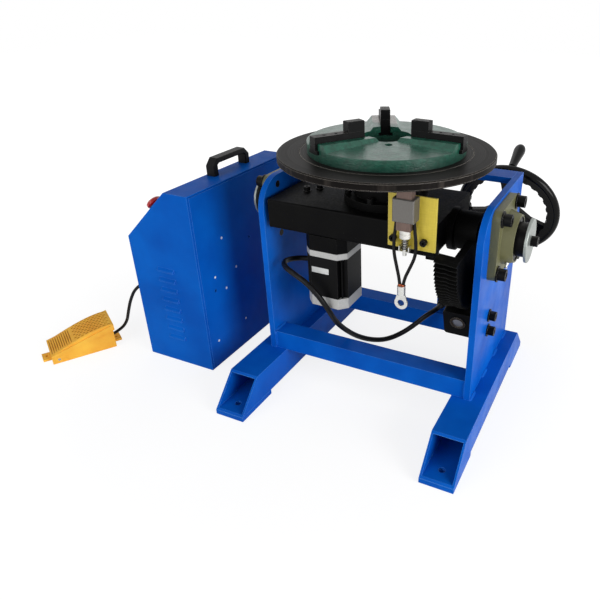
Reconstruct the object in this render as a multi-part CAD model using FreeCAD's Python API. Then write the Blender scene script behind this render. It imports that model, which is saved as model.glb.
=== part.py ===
import FreeCAD
import Part
import math
import os

# Welding positioner: a chuck table that tilts between two side plates, its control box and its foot pedal.
# Millimetres. Origin: on the floor, in the middle of the four floor bolt holes. X runs along the tilt axis,
# -Y is the side the operator stands on, +Z is up.

# ---- driving dimensions -------------------------------------------------------------------------------
# floor frame
FOOT_X = 217.0          # centre of each foot from the middle
FOOT_WIDTH = 64.0
FOOT_HEIGHT = 60.0
FOOT_LENGTH = 502.0
FOOT_WALL = 4.0
PAD_THICKNESS = 10.0
PAD_LENGTH = 100.0
FLOOR_HOLE_INSET = 31.0  # floor bolts from the foot's ends
FLOOR_HOLE_RADIUS = 6.5
CROSS_TUBE = 40.0
CROSS_WALL = 3.0
FRONT_TUBE_Y = -63.0
REAR_TUBE_Y = 151.0
PLATE_THICKNESS = 12.0
PLATE_INNER_X = 209.5
PLATE_FRONT_Y = -86.0
PLATE_REAR_Y = 185.0
PLATE_TOP_Z = 438.5
PLATE_CORNER_RADIUS = 60.0
TOP_BAR_WIDTH = 48.0
TOP_BAR_THICKNESS = 12.0

# tilt axis and its flange bearings
AXIS_Y = 19.0
AXIS_Z = 368.0
SHAFT_RADIUS = 20.0
FLANGE_BOLT_PITCH = 102.0
FLANGE_BOLT_EDGE = 14.0  # bolt centre to the flange's edge
FLANGE_BOLT_RADIUS = 7.0
FLANGE_BOLT_SEAT = 2.3   # spot-face radius over bolt radius
FLANGE_CORNER = 16.0
FLANGE_THICKNESS = 15.0
BEARING_LENGTH = 51.0
BOSS_LENGTH = 36.0
BOSS_SHARE = 50.0 / 51.0  # boss foot radius over half the bolt pitch
BOSS_TAPER = 7.0
INNER_RING_RADIUS = 26.0
BOSS_WALL = 3.0         # boss end outside the outer race
OUTER_RACE_WIDTH = 21.0
BEARING_CENTRE = 23.0   # middle of the outer race, from the side plate
PLATE_SHAFT_CLEARANCE = 6.0
NIPPLE_ANGLE = 50.0     # degrees below the operator's side
NIPPLE_PLACE = 26.0
NIPPLE_RADIUS = 3.5
SHAFT_DISC_RADIUS = 40.0
SHAFT_DISC_THICKNESS = 5.0
SHAFT_SCREW_RADIUS = 6.0
RING_START = 3.0
TRUNNION_FLANGE_RADIUS = 40.0
TRUNNION_FLANGE_LENGTH = 12.0
COLLAR_RADIUS = 31.0
COLLAR_LENGTH = 16.0

# tilting beam
BEAM_LEFT_X = -200.0
BEAM_RIGHT_X = 134.0
BEAM_WIDTH = 206.0
BEAM_BOTTOM_Z = 349.0
BEAM_HEIGHT = 56.0
BEAM_WALL = 8.0
BEAM_END_PLATE = 12.0
BEAM_LUG_LENGTH = 16.0    # small lug under the beam beside the sector
BEAM_LUG_WIDTH = 26.0
BEAM_LUG_DROP = 8.0

# worm and sector
GEAR_MODULE = 2.75
GEAR_TEETH = 101        # on the full circle
SECTOR_START = -2.0     # degrees below the operator's side
SECTOR_END = 111.0
SECTOR_LEFT_X = 149.0
SECTOR_WIDTH = 40.0
SECTOR_WEB = 14.0
SECTOR_RIM = 22.0
SECTOR_HUB_RADIUS = 36.0
WORM_PITCH_RADIUS = 16.0
WORM_THREAD_LENGTH = 46.0
THREAD_ROOT_SINK = 0.4   # how far the thread's foot is sunk in its core
WORM_SHAFT_RADIUS = 10.0
WORM_MESH_ANGLE = 108.2  # degrees round from the operator's side, going under
WORM_HOUSING_LEFT_X = 140.0
WORM_RING_RADIUS = 15.0
WORM_RING_PROUD = 1.5
WORM_FRONT = -92.0      # along the worm from the mesh point
WORM_REAR = 56.0
WORM_END_GAP = 4.0
WORM_HOUSING_RISE = 26.0
WORM_HOUSING_DROP = 36.0
WORM_HOUSING_BACK = 8.0
WORM_BOLT_Y = 5.0
WORM_BOLT_Z = 192.5
WORM_BOLT_PITCH = 33.0
WORM_BOLT_RADIUS = 6.0
WORM_BOLT_DEPTH = 16.0
SECTOR_CLEARANCE = 2.5
BACKLASH = 0.8
PRESSURE_ANGLE = 20.0
DEDENDUM = 1.25 * GEAR_MODULE
TIP_RELIEF = 1.5         # the sector's tips above the pitch circle, beyond one module
SECTOR_ARC_STEPS = 12
SECTOR_THROAT_GAP = 0.8

# handwheel
WHEEL_RADIUS = 117.0
WHEEL_RIM_WIDTH = 29.0
WHEEL_RIM_THICKNESS = 20.0
WHEEL_DISTANCE = 271.0   # from the mesh point, along the worm
WHEEL_HUB_RADIUS = 26.0
WHEEL_HUB_LENGTH = 34.0
WHEEL_HUB_TAPER = 3.0
WHEEL_HUB_BEVEL = 4.0
WHEEL_SPOKE_WIDTH = 44.0
WHEEL_SPOKE_THICKNESS = 11.0
WHEEL_SPOKE_ANGLE = 85.0
WHEEL_LOBES = 27
WHEEL_LOBE_RADIUS = 8.0
WHEEL_LOBE_DEPTH = 3.0
GRIP_RADIUS = 12.0
GRIP_LENGTH = 85.0
GRIP_PIN_RADIUS = 5.0
GRIP_PIN_REACH = 68.0
GRIP_ANGLE = 88.0       # round the wheel from +X
WHEEL_BORE_RADIUS = 8.0
WHEEL_NUT_RADIUS = 14.0
WHEEL_NUT_HEIGHT = 9.0
WHEEL_NUT_THREAD = 13.0

# turntable and chuck
TABLE_RADIUS = 200.0
TABLE_THICKNESS = 14.5
TABLE_TOP_Z = 498.7
TABLE_CHAMFER = 2.0
GROOVE_RADIUS = 158.5
SPINDLE_RADIUS = 38.0
SPINDLE_BORE_RADIUS = 25.0
HUB_RADIUS = 62.0
HUB_FLANGE_RADIUS = 80.0
HUB_FLANGE_THICKNESS = 14.0
SMALL_SCREW_RADIUS = 4.0
BEAM_SCREW_PLACES = ((-158.0, -8.0), (-143.0, 16.0))
TABLE_CLEARANCE = 3.0
CHUCK_RADIUS = 145.0
CHUCK_RIM_HEIGHT = 20.0
CHUCK_CENTRE_HEIGHT = 25.0
CHUCK_BORE_RADIUS = 45.0
CHUCK_RIB_HEIGHT = 31.0
CHUCK_RIB_WIDTH = 47.0
CHUCK_RIB_FOOT = 70.0
CHUCK_ANGLE = -3.0
CHUCK_BOLT_CIRCLE_RADIUS = 62.0
CHUCK_BOLT_RADIUS = 6.5
JAW_WIDTH = 18.0
JAW_FOOT_WIDTH = 26.0
JAW_FOOT_HEIGHT = 6.0
JAW_RISE = 11.0
JAW_INNER_RADIUS = 52.0
JAW_OUTER_RADIUS = 150.0
JAW_BLOCK_LENGTH = 33.0
JAW_BLOCK_HEIGHT = 18.0
JAW_HOLE_RADIUS = 3.0
JAW_HOLE_PLACES = (104.0, 127.0)
JAW_SLOT_Z = 13.0        # floor of the T-slot above the table
CHUCK_SCREW_HEIGHT = 14.0

# turntable motor
MOTOR_SIZE = 88.0
MOTOR_X = -84.0
MOTOR_Y = -40.0
MOTOR_ADAPTER_LENGTH = 31.0
MOTOR_CAP_LENGTH = 12.0
MOTOR_STACK_LENGTH = 84.0
MOTOR_REAR_LENGTH = 22.0
MOTOR_CORNER = 15.0
MOTOR_FLUTE = 7.0
MOTOR_SCREW_RADIUS = 2.0
MOTOR_PILOT_RADIUS = 25.0
MOTOR_GLAND_LENGTH = 9.0
MOTOR_GLAND_RADIUS = 9.0
MOTOR_GLAND_Y = -16.0
MOTOR_CABLE_Z = 262.0
MOTOR_CABLE_RADIUS = 5.5
CABLE_SOCKET_X = 84.0
CABLE_SOCKET_Z = 132.0
CABLE_SOCKET_RADIUS = 9.0
CABLE_SOCKET_LENGTH = 18.0
CABLE_BRACKET_SHEET = 3.0
CABLE_BRACKET_WIDTH = 30.0

# ground brush
BRUSH_X = 88.5
BRUSH_PLATE_LEFT_X = 51.0
BRUSH_PLATE_RIGHT_X = 139.0
BRUSH_PLATE_BOTTOM_Z = 361.0
BRUSH_PLATE_TOP_Z = 458.0
BRUSH_PLATE_THICKNESS = 4.0
BRUSH_WIDTH = 39.0
BRUSH_DEPTH = 26.0
BRUSH_BOTTOM_Z = 417.0
BRUSH_TOP_Z = 458.0
BRUSH_NECK_WIDTH = 26.0
BRUSH_NECK_DEPTH = 19.0
BRUSH_NECK_DROP = 16.0
PLATE_SCREW_RADIUS = 4.0
PLATE_SCREW_Z = 378.0
PLATE_SCREW_X = (62.0, 119.0)
BRUSH_NUT_RADIUS = 9.5
BRUSH_NUT_HEIGHT = 15.0
SPRING_RADIUS = 6.5
SPRING_WIRE_RADIUS = 0.9
SPRING_TURNS = 5
SPRING_LENGTH = 24.0
BRUSH_ROD_RADIUS = 3.5
LEAD_RADIUS = 3.0
LUG_HOLE_RADIUS = 6.5
LUG_RING_RADIUS = 12.5
LUG_THICKNESS = 3.0
LUG_Z = 258.0
LUG_X = 84.0
LUG_NECK = 17.0
LUG_BARREL_RADIUS = 7.5
LUG_BARREL_LENGTH = 18.0
CLIP_WIDTH = 19.0
CLIP_DEPTH = 10.0
CLIP_SHEET = 1.5
CLIP_HEIGHT = 9.0

# control box
BOX_LEFT_X = -524.0
BOX_RIGHT_X = -349.0
BOX_FRONT_Y = -137.0
BOX_REAR_Y = 209.0
BOX_HEIGHT = 404.0
BOX_SHEET = 2.0
BOX_TOP_DEPTH = 58.0
BOX_SLANT_Z = 293.0
LOUVRE_COUNT = 8
LOUVRE_LENGTH = 42.0
LOUVRE_PITCH = 23.6
LOUVRE_FIRST_Z = 62.0
LOUVRE_HEIGHT = 8.0
LOUVRE_DEPTH = 5.0
LOUVRE_SHEET = 1.2
LOUVRE_X = -455.0
COVER_MARGIN = 24.0      # from the cabinet's edges to its open side
COVER_EDGE = 4.0         # from the cabinet's edges to the cover's
COVER_HOLE_RADIUS = 3.0
COVER_HOLES = ((-54, 288), (38, 255), (-90, 211), (-59, 171), (-94, 181), (-18, 205), (-6, 65), (-106, 61))
SOCKET_Z = 165.0
SOCKET_Y = (-110.0, -60.0, -10.0)
SOCKET_RADIUS = 9.0
SOCKET_LENGTH = 14.0
HANDLE_FRONT_Y = -11.0
HANDLE_REAR_Y = 112.0
HANDLE_X = -391.0
HANDLE_HEIGHT = 36.0
HANDLE_BAR = 11.0
HANDLE_THICKNESS = 22.0
ESTOP_Y = -95.0
ESTOP_BASE_RADIUS = 15.0
ESTOP_HEAD_RADIUS = 17.0
PANEL_HOLE_RADIUS = 11.0
ESTOP_STEM_RADIUS = 6.0
ESTOP_STEM_DEPTH = 18.0
ESTOP_COLLAR = 6.0
ESTOP_BUSH = 24.0
ESTOP_TRAVEL = 5.0
KNOB_Y = -30.0
SWITCH_Y = 35.0
KNOB_RADIUS = 14.0
KNOB_SHAFT_RADIUS = 3.0
KNOB_SHAFT_DEPTH = 14.0
KNOB_HEIGHT = 18.0
KNOB_FLUTES = 12
PANEL_NUT_RADIUS = 14.0
PANEL_NUT_HEIGHT = 2.0
PANEL_BUSH = 20.0

# foot pedal
PEDAL_HEEL_X = -617.0
PEDAL_HEEL_Y = -155.0
PEDAL_YAW = 238.6        # heel to toe, degrees from +X
PEDAL_LENGTH = 136.0
PEDAL_WIDTH = 76.0
PEDAL_HEEL_HEIGHT = 60.0
PEDAL_TOE_HEIGHT = 22.0
PEDAL_BASE_WALL = 3.5
PEDAL_GAP = 3.0
PEDAL_RIBS = 10
PEDAL_TREAD = 5.0
PEDAL_TRAVEL = 5.0
PEDAL_SKIRT = 14.0
PEDAL_EAR = 5.0
PEDAL_EAR_WIDTH = 13.0
PEDAL_RIB_START = 0.60
PEDAL_RIB_PITCH = 0.036
PEDAL_TAB = 17.0
PEDAL_TAB_HOLE_RADIUS = 3.5
PEDAL_PIN_RADIUS = 3.0
PEDAL_PIN_INSET = 14.0   # hinge pin from the toe
PEDAL_PIN_Z = 9.0
PEDAL_CORD_RADIUS = 3.5
PEDAL_CORD_Y = 25.0
PEDAL_CORD_Z = 20.0

# fits
RUNNING_FIT = 0.05
SLIDE_FIT = 0.3
FREE_GAP = 0.3


# ---- helpers ------------------------------------------------------------------------------------------
V = FreeCAD.Vector
X_AXIS = V(1, 0, 0)
Y_AXIS = V(0, 1, 0)
Z_AXIS = V(0, 0, 1)
ORIGIN = V(0, 0, 0)


def block(x0, x1, y0, y1, z0, z1):
    return Part.makeBox(x1 - x0, y1 - y0, z1 - z0, V(x0, y0, z0))


def rod(radius, length, start, direction=Z_AXIS):
    return Part.makeCylinder(radius, length, start, direction)


def ring(outer, inner, length, start, direction=Z_AXIS):
    return rod(outer, length, start, direction).cut(rod(inner, length, start, direction))


def prism(points, travel):
    wire = Part.makePolygon(points + [points[0]])
    return Part.Face(wire).extrude(travel)


def turned(profile, centre=ORIGIN, axis=Z_AXIS):
    """A revolved solid: profile holds (radius, height) pairs about Z."""
    points = [V(radius, 0, height) for radius, height in profile]
    face = Part.Face(Part.makePolygon(points + [points[0]]))
    solid = face.revolve(ORIGIN, Z_AXIS, 360)
    solid.Placement = FreeCAD.Placement(centre, FreeCAD.Rotation(Z_AXIS, axis))
    return solid


def rounded_plate(size_a, size_b, radius, height):
    """A plate centred on the origin, standing on z = 0, with rounded upright edges."""
    plate = block(-size_a / 2, size_a / 2, -size_b / 2, size_b / 2, 0, height)
    upright = [edge for edge in plate.Edges if abs(edge.tangentAt(edge.FirstParameter).z) > 0.9]
    return plate.makeFillet(radius, upright)


def placed(shape, position, rotation=None):
    copy = shape.copy()
    copy.Placement = FreeCAD.Placement(position, rotation or FreeCAD.Rotation()).multiply(copy.Placement)
    return copy


def turned_about(shape, degrees, centre=ORIGIN, axis=Z_AXIS):
    copy = shape.copy()
    copy.rotate(centre, axis, degrees)
    return copy


def mirrored_x(shape):
    return shape.mirror(ORIGIN, X_AXIS)


def hexagon(radius):
    corners = [math.radians(60 * k) for k in range(6)]
    return [V(radius * math.cos(corner), radius * math.sin(corner), 0) for corner in corners]


def cap_screw(radius, grip, seat, direction, washer=True):
    """A socket cap screw whose head stands on the seat and whose shank goes into the work."""
    out = V(direction).normalize()
    lift = 0.0
    solids = []
    if washer:
        lift = radius * 0.35
        solids.append(ring(radius * 2.1, radius + RUNNING_FIT, lift, seat, out))
    head = rod(radius * 1.55, radius * 2, seat + out * lift, out)
    socket = prism(hexagon(radius * 0.85), V(0, 0, radius * 1.1))
    socket.Placement = FreeCAD.Placement(seat + out * (lift + radius), FreeCAD.Rotation(Z_AXIS, out))
    shank = rod(radius, grip + lift, seat - out * grip, out)
    solids.append(head.cut(socket).fuse(shank).removeSplitter())
    return solids


def save(name, solids):
    shape = Part.makeCompound(solids) if isinstance(solids, list) else solids
    shape.exportStep("parts/" + name + ".step")


# ---- places worked out from the driving dimensions -----------------------------------------------------
AXIS = V(0, AXIS_Y, AXIS_Z)
FLANGE_SIZE = FLANGE_BOLT_PITCH + 2 * FLANGE_BOLT_EDGE
BOSS_FOOT_RADIUS = FLANGE_BOLT_PITCH / 2 * BOSS_SHARE
BOSS_END_RADIUS = BOSS_FOOT_RADIUS - BOSS_TAPER
OUTER_RACE_RADIUS = BOSS_END_RADIUS - BOSS_WALL
FLOOR_HOLE_Y = FOOT_LENGTH / 2 - FLOOR_HOLE_INSET
FOOT_TOP_Z = PAD_THICKNESS + FOOT_HEIGHT
PLATE_OUTER_X = PLATE_INNER_X + PLATE_THICKNESS
BEAM_TOP_Z = BEAM_BOTTOM_Z + BEAM_HEIGHT
BEAM_FRONT_Y = AXIS_Y - BEAM_WIDTH / 2
BEAM_REAR_Y = AXIS_Y + BEAM_WIDTH / 2
TABLE_BOTTOM_Z = TABLE_TOP_Z - TABLE_THICKNESS
TABLE_CENTRE = V(0, AXIS_Y, 0)
GEAR_RADIUS = GEAR_MODULE * GEAR_TEETH / 2
MESH_DISTANCE = GEAR_RADIUS + WORM_PITCH_RADIUS
MESH = math.radians(WORM_MESH_ANGLE)
MESH_DIRECTION = V(0, -math.cos(MESH), -math.sin(MESH))
WORM_DIRECTION = V(0, math.sin(MESH), -math.cos(MESH))
WORM_X = SECTOR_LEFT_X + SECTOR_WIDTH / 2
MOTOR_CAP_Z = BEAM_BOTTOM_Z - MOTOR_ADAPTER_LENGTH
MOTOR_STACK_TOP_Z = MOTOR_CAP_Z - MOTOR_CAP_LENGTH
MOTOR_STACK_Z = MOTOR_STACK_TOP_Z - MOTOR_STACK_LENGTH
WORM_CENTRE = V(WORM_X, AXIS_Y, AXIS_Z) + MESH_DIRECTION * MESH_DISTANCE
THREAD_PITCH = math.pi * GEAR_MODULE
SECTOR_TIP_RADIUS = GEAR_RADIUS + GEAR_MODULE + TIP_RELIEF
FLANK = math.tan(math.radians(PRESSURE_ANGLE))
WORM_SHAFT_END = WHEEL_DISTANCE - WHEEL_HUB_LENGTH / 2
WHEEL_CENTRE = WORM_CENTRE + WORM_DIRECTION * WHEEL_DISTANCE
PANEL_START = V(BOX_LEFT_X, 0, BOX_SLANT_Z)
PANEL_END = V(BOX_RIGHT_X - BOX_TOP_DEPTH, 0, BOX_HEIGHT)
PANEL_RUN = (PANEL_END - PANEL_START).normalize()
PANEL_NORMAL = V(-PANEL_RUN.z, 0, PANEL_RUN.x)
PANEL_MIDDLE = (PANEL_START + PANEL_END) * 0.5
PEDAL_PIN_X = PEDAL_LENGTH - PEDAL_PIN_INSET
# turns a piece drawn about +Z so that its own X stays along X and its Z lies along the worm
WORM_ROTATION = FreeCAD.Rotation(X_AXIS, WORM_MESH_ANGLE - 180)


def in_worm_frame(shape):
    """Places a piece drawn with +Z along the worm and +Y away from the tilt axis."""
    return placed(shape, WORM_CENTRE, WORM_ROTATION)


# ---- floor frame --------------------------------------------------------------------------------------
def foot_tube(side):
    """A rectangular tube whose two ends are cut back at 45 degrees, so that they stand open."""
    half = FOOT_LENGTH / 2
    low = PAD_THICKNESS
    outline = [V(0, -half, low), V(0, half, low), V(0, half - FOOT_HEIGHT, FOOT_TOP_Z),
               V(0, -half + FOOT_HEIGHT, FOOT_TOP_Z)]
    body = placed(prism(outline, V(FOOT_WIDTH, 0, 0)), V(side * FOOT_X - FOOT_WIDTH / 2, 0, 0))
    inside = block(side * FOOT_X - FOOT_WIDTH / 2 + FOOT_WALL, side * FOOT_X + FOOT_WIDTH / 2 - FOOT_WALL,
                   -FOOT_LENGTH, FOOT_LENGTH, low + FOOT_WALL, FOOT_TOP_Z - FOOT_WALL)
    holes = [rod(FLOOR_HOLE_RADIUS, FOOT_HEIGHT / 2, V(side * FOOT_X, end * FLOOR_HOLE_Y, 0))
             for end in (-1, 1)]
    return body.cut([inside] + holes)


def foot_pad(side, end):
    near = FOOT_LENGTH / 2 - PAD_LENGTH
    far = FOOT_LENGTH / 2
    pad = block(side * FOOT_X - FOOT_WIDTH / 2, side * FOOT_X + FOOT_WIDTH / 2,
                min(end * near, end * far), max(end * near, end * far), 0, PAD_THICKNESS)
    return pad.cut(rod(FLOOR_HOLE_RADIUS, PAD_THICKNESS, V(side * FOOT_X, end * FLOOR_HOLE_Y, 0)))


def cross_tube(centre_y):
    half = CROSS_TUBE / 2
    outer = block(-PLATE_INNER_X, PLATE_INNER_X, centre_y - half, centre_y + half,
                  FOOT_TOP_Z, FOOT_TOP_Z + CROSS_TUBE)
    inner = block(-PLATE_INNER_X, PLATE_INNER_X, centre_y - half + CROSS_WALL, centre_y + half - CROSS_WALL,
                  FOOT_TOP_Z + CROSS_WALL, FOOT_TOP_Z + CROSS_TUBE - CROSS_WALL)
    return outer.cut(inner)


def bearing_bolt_places():
    half = FLANGE_BOLT_PITCH / 2
    return [V(0, AXIS_Y + dy * half, AXIS_Z + dz * half) for dy in (-1, 1) for dz in (-1, 1)]


def worm_bolt_places():
    """The two screws that hold the worm housing, one above the other on the side plate."""
    return [V(0, WORM_BOLT_Y, WORM_BOLT_Z + side * WORM_BOLT_PITCH / 2) for side in (-1, 1)]


def side_plate(side):
    plate = block(PLATE_INNER_X, PLATE_OUTER_X, PLATE_FRONT_Y, PLATE_REAR_Y, FOOT_TOP_Z, PLATE_TOP_Z)
    corner = [edge for edge in plate.Edges
              if abs(edge.CenterOfMass.y - PLATE_FRONT_Y) < 0.01
              and abs(edge.CenterOfMass.z - PLATE_TOP_Z) < 0.01]
    plate = plate.makeFillet(PLATE_CORNER_RADIUS, corner)
    holes = [rod(SHAFT_RADIUS + PLATE_SHAFT_CLEARANCE, PLATE_THICKNESS, V(PLATE_INNER_X, AXIS_Y, AXIS_Z),
                 X_AXIS)]
    for place in bearing_bolt_places():
        holes.append(rod(FLANGE_BOLT_RADIUS + RUNNING_FIT, PLATE_THICKNESS, V(PLATE_INNER_X, 0, 0) + place,
                         X_AXIS))
    if side > 0:
        for place in worm_bolt_places():
            holes.append(rod(WORM_BOLT_RADIUS + RUNNING_FIT, PLATE_THICKNESS, V(PLATE_INNER_X, 0, 0) + place,
                             X_AXIS))
    plate = plate.cut(holes)
    return plate if side > 0 else mirrored_x(plate)


def top_bar():
    return block(-PLATE_INNER_X, PLATE_INNER_X, PLATE_REAR_Y - TOP_BAR_WIDTH, PLATE_REAR_Y,
                 PLATE_TOP_Z - TOP_BAR_THICKNESS, PLATE_TOP_Z)


def bearing_housing(side):
    """A square flanged housing: rounded flange, tapered boss, bored for the outer race."""
    flange = rounded_plate(FLANGE_SIZE, FLANGE_SIZE, FLANGE_CORNER, FLANGE_THICKNESS)
    boss = Part.makeCone(BOSS_FOOT_RADIUS, BOSS_END_RADIUS, BOSS_LENGTH - FLANGE_THICKNESS,
                         V(0, 0, FLANGE_THICKNESS))
    holes = [rod(OUTER_RACE_RADIUS, BOSS_LENGTH, ORIGIN)]
    half = FLANGE_BOLT_PITCH / 2
    for dx in (-1, 1):
        for dy in (-1, 1):
            holes.append(rod(FLANGE_BOLT_RADIUS + RUNNING_FIT, FLANGE_THICKNESS, V(dx * half, dy * half, 0)))
            holes.append(rod(FLANGE_BOLT_RADIUS * FLANGE_BOLT_SEAT, BOSS_LENGTH,
                             V(dx * half, dy * half, FLANGE_THICKNESS)))
    housing = flange.fuse(boss).cut(holes)
    return on_shaft(housing, PLATE_OUTER_X, side)


def on_shaft(shape, start_x, side):
    """Places a piece drawn about +Z on the tilt axis, its z = 0 at start_x and growing outwards."""
    turn = FreeCAD.Rotation(Y_AXIS, 90)
    copy = placed(shape, V(start_x, AXIS_Y, AXIS_Z), turn)
    return copy if side > 0 else mirrored_x(copy)


def outer_race(side):
    return on_shaft(ring(OUTER_RACE_RADIUS, INNER_RING_RADIUS + RUNNING_FIT, OUTER_RACE_WIDTH,
                         V(0, 0, BEARING_CENTRE - OUTER_RACE_WIDTH / 2)), PLATE_OUTER_X, side)


def bearing_screws(side):
    solids = []
    for place in bearing_bolt_places():
        seat = place + V(PLATE_OUTER_X + FLANGE_THICKNESS, 0, 0)
        for solid in cap_screw(FLANGE_BOLT_RADIUS, FLANGE_THICKNESS + PLATE_THICKNESS, seat, X_AXIS):
            solids.append(solid if side > 0 else mirrored_x(solid))
    return solids


def grease_nipple(side):
    """A small ball-ended nipple low on the operator's side of the boss."""
    wide = NIPPLE_RADIUS
    profile = [(0, 0), (wide, 0), (wide, 3), (wide * 0.6, 4), (wide * 0.6, 7), (wide * 0.85, 8.5),
               (wide * 0.6, 10.5), (0, 10.5)]
    angle = math.radians(NIPPLE_ANGLE)
    out = V(0, -math.cos(angle), -math.sin(angle))
    taper = (NIPPLE_PLACE - NIPPLE_RADIUS - FLANGE_THICKNESS) / (BOSS_LENGTH - FLANGE_THICKNESS)
    seat = BOSS_FOOT_RADIUS + (BOSS_END_RADIUS - BOSS_FOOT_RADIUS) * taper
    start = V(PLATE_OUTER_X + NIPPLE_PLACE, AXIS_Y, AXIS_Z) + out * seat
    nipple = turned(profile, start, out)
    return nipple if side > 0 else mirrored_x(nipple)


# ---- worm housing -------------------------------------------------------------------------------------
def worm_housing():
    """A yoke on the right plate: two bearing cheeks and a floor, cleared for the sector above the thread."""
    left = WORM_HOUSING_LEFT_X - WORM_X
    right = PLATE_INNER_X - WORM_X
    body = block(left, right, -WORM_HOUSING_RISE, WORM_HOUSING_DROP, WORM_FRONT, WORM_REAR)
    body = body.makeFillet(6, [edge for edge in body.Edges
                               if abs(edge.CenterOfMass.x - left) < 0.01
                               and abs(edge.tangentAt(edge.FirstParameter).z) > 0.9])
    half = WORM_THREAD_LENGTH / 2 + WORM_END_GAP
    window = block(left - 1, PLATE_INNER_X - WORM_X - WORM_HOUSING_BACK, -2 * WORM_HOUSING_RISE,
                   WORM_PITCH_RADIUS + GEAR_MODULE + 4, -half, half)
    bore = rod(WORM_RING_RADIUS, WORM_REAR - WORM_FRONT, V(0, 0, WORM_FRONT))
    sector_room = rod(SECTOR_TIP_RADIUS + SECTOR_CLEARANCE, 2 * PLATE_INNER_X,
                      V(-PLATE_INNER_X, -MESH_DISTANCE, 0), X_AXIS)
    body = in_worm_frame(body.cut([window, bore, sector_room]))
    holes = [rod(WORM_BOLT_RADIUS, WORM_BOLT_DEPTH, place + V(PLATE_INNER_X, 0, 0), X_AXIS * -1)
             for place in worm_bolt_places()]
    return body.cut(holes)


def worm_bushes():
    """Flanged bushes that carry the worm shaft, one in each cheek."""
    half = WORM_THREAD_LENGTH / 2 + WORM_END_GAP
    inner = WORM_SHAFT_RADIUS + RUNNING_FIT
    front = ring(WORM_RING_RADIUS, inner, -half - WORM_FRONT + WORM_RING_PROUD,
                 V(0, 0, WORM_FRONT - WORM_RING_PROUD))
    rear = ring(WORM_RING_RADIUS, inner, WORM_REAR - half + WORM_RING_PROUD, V(0, 0, half))
    return [in_worm_frame(front), in_worm_frame(rear)]


def worm_screws():
    solids = []
    for place in worm_bolt_places():
        solids += cap_screw(WORM_BOLT_RADIUS, PLATE_THICKNESS + WORM_BOLT_DEPTH - 1,
                            place + V(PLATE_OUTER_X, 0, 0), X_AXIS)
    return solids


# ---- worm shaft and handwheel -------------------------------------------------------------------------
def worm_shaft():
    """A shaft with one trapezoidal thread, its crest at the middle of the mesh pointing at the sector."""
    root = WORM_PITCH_RADIUS - DEDENDUM
    tip = WORM_PITCH_RADIUS + GEAR_MODULE
    half = WORM_THREAD_LENGTH / 2
    turns = int(WORM_THREAD_LENGTH / THREAD_PITCH) - 1
    crest = THREAD_PITCH / 4 - GEAR_MODULE * FLANK - BACKLASH / 4
    foot = THREAD_PITCH / 4 + DEDENDUM * FLANK - BACKLASH / 4
    sunk = root - THREAD_ROOT_SINK
    length = turns * THREAD_PITCH
    helix = Part.makeHelix(THREAD_PITCH, length, WORM_PITCH_RADIUS)
    section = Part.makePolygon([V(sunk, 0, -foot), V(tip, 0, -crest), V(tip, 0, crest), V(sunk, 0, foot),
                                V(sunk, 0, -foot)])
    thread = Part.Wire(helix).makePipeShell([section], True, True)
    thread.translate(V(0, 0, -length / 2))
    # the thread is centred on the side that faces the sector, -Y here
    thread.rotate(ORIGIN, Z_AXIS, -90 - 180 * turns)
    core = rod(root, 2 * half, V(0, 0, -half))
    shaft = rod(WORM_SHAFT_RADIUS, WORM_SHAFT_END - WORM_FRONT, V(0, 0, WORM_FRONT))
    seat = rod(WHEEL_BORE_RADIUS, WHEEL_HUB_LENGTH, V(0, 0, WORM_SHAFT_END))
    return in_worm_frame(shaft.fuse([core, thread, seat]))


def handwheel():
    """A handwheel with a rounded rim, finger scallops along its inner edge and three broad spokes."""
    round_off = WHEEL_RIM_THICKNESS / 2
    rim = Part.makeTorus(WHEEL_RADIUS - round_off, round_off)
    inner = WHEEL_RADIUS - WHEEL_RIM_WIDTH
    flat = WHEEL_RIM_THICKNESS * 0.32
    web = turned([(inner, -flat), (WHEEL_RADIUS - round_off, -round_off),
                  (WHEEL_RADIUS - round_off, round_off),
                  (inner, flat)])
    hub_half = WHEEL_HUB_LENGTH / 2
    hub_end = WHEEL_HUB_RADIUS - WHEEL_HUB_TAPER
    hub = turned([(0, -hub_half), (hub_end - WHEEL_HUB_BEVEL, -hub_half),
                  (hub_end, WHEEL_HUB_BEVEL - hub_half),
                  (WHEEL_HUB_RADIUS, hub_half), (0, hub_half)])
    spokes = []
    for k in range(3):
        wide = WHEEL_SPOKE_WIDTH / 2
        outline = [V(0, -wide, 0), V(inner * 0.6, -wide * 0.8, 0), V(inner + 8, -wide * 1.3, 0),
                   V(inner + 8, wide * 1.3, 0), V(inner * 0.6, wide * 0.8, 0), V(0, wide, 0)]
        spoke = placed(prism(outline, V(0, 0, WHEEL_SPOKE_THICKNESS)), V(0, 0, -WHEEL_SPOKE_THICKNESS / 2))
        spokes.append(turned_about(spoke, 120 * k + WHEEL_SPOKE_ANGLE))
    scallops = []
    for k in range(WHEEL_LOBES):
        angle = math.radians(360.0 * k / WHEEL_LOBES + WHEEL_SPOKE_ANGLE)
        reach = inner - WHEEL_LOBE_RADIUS + WHEEL_LOBE_DEPTH
        scallops.append(rod(WHEEL_LOBE_RADIUS, WHEEL_RIM_THICKNESS,
                            V(reach * math.cos(angle), reach * math.sin(angle), -WHEEL_RIM_THICKNESS / 2)))
    rim_body = web.cut(scallops).fuse(rim)
    wheel = rim_body.fuse([hub] + spokes)
    wheel = wheel.cut([rod(WHEEL_BORE_RADIUS + RUNNING_FIT, WHEEL_HUB_LENGTH, V(0, 0, -WHEEL_HUB_LENGTH / 2)),
                       rod(GRIP_PIN_RADIUS, WHEEL_RIM_THICKNESS,
                           grip_place() - V(0, 0, WHEEL_RIM_THICKNESS / 2))])
    # drawn facing +Z with +Y up; turned so that the wheel's own up side stands away from the mesh direction
    wheel.rotate(ORIGIN, X_AXIS, 180)
    return in_worm_frame(placed(wheel, V(0, 0, WHEEL_DISTANCE)))


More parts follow.
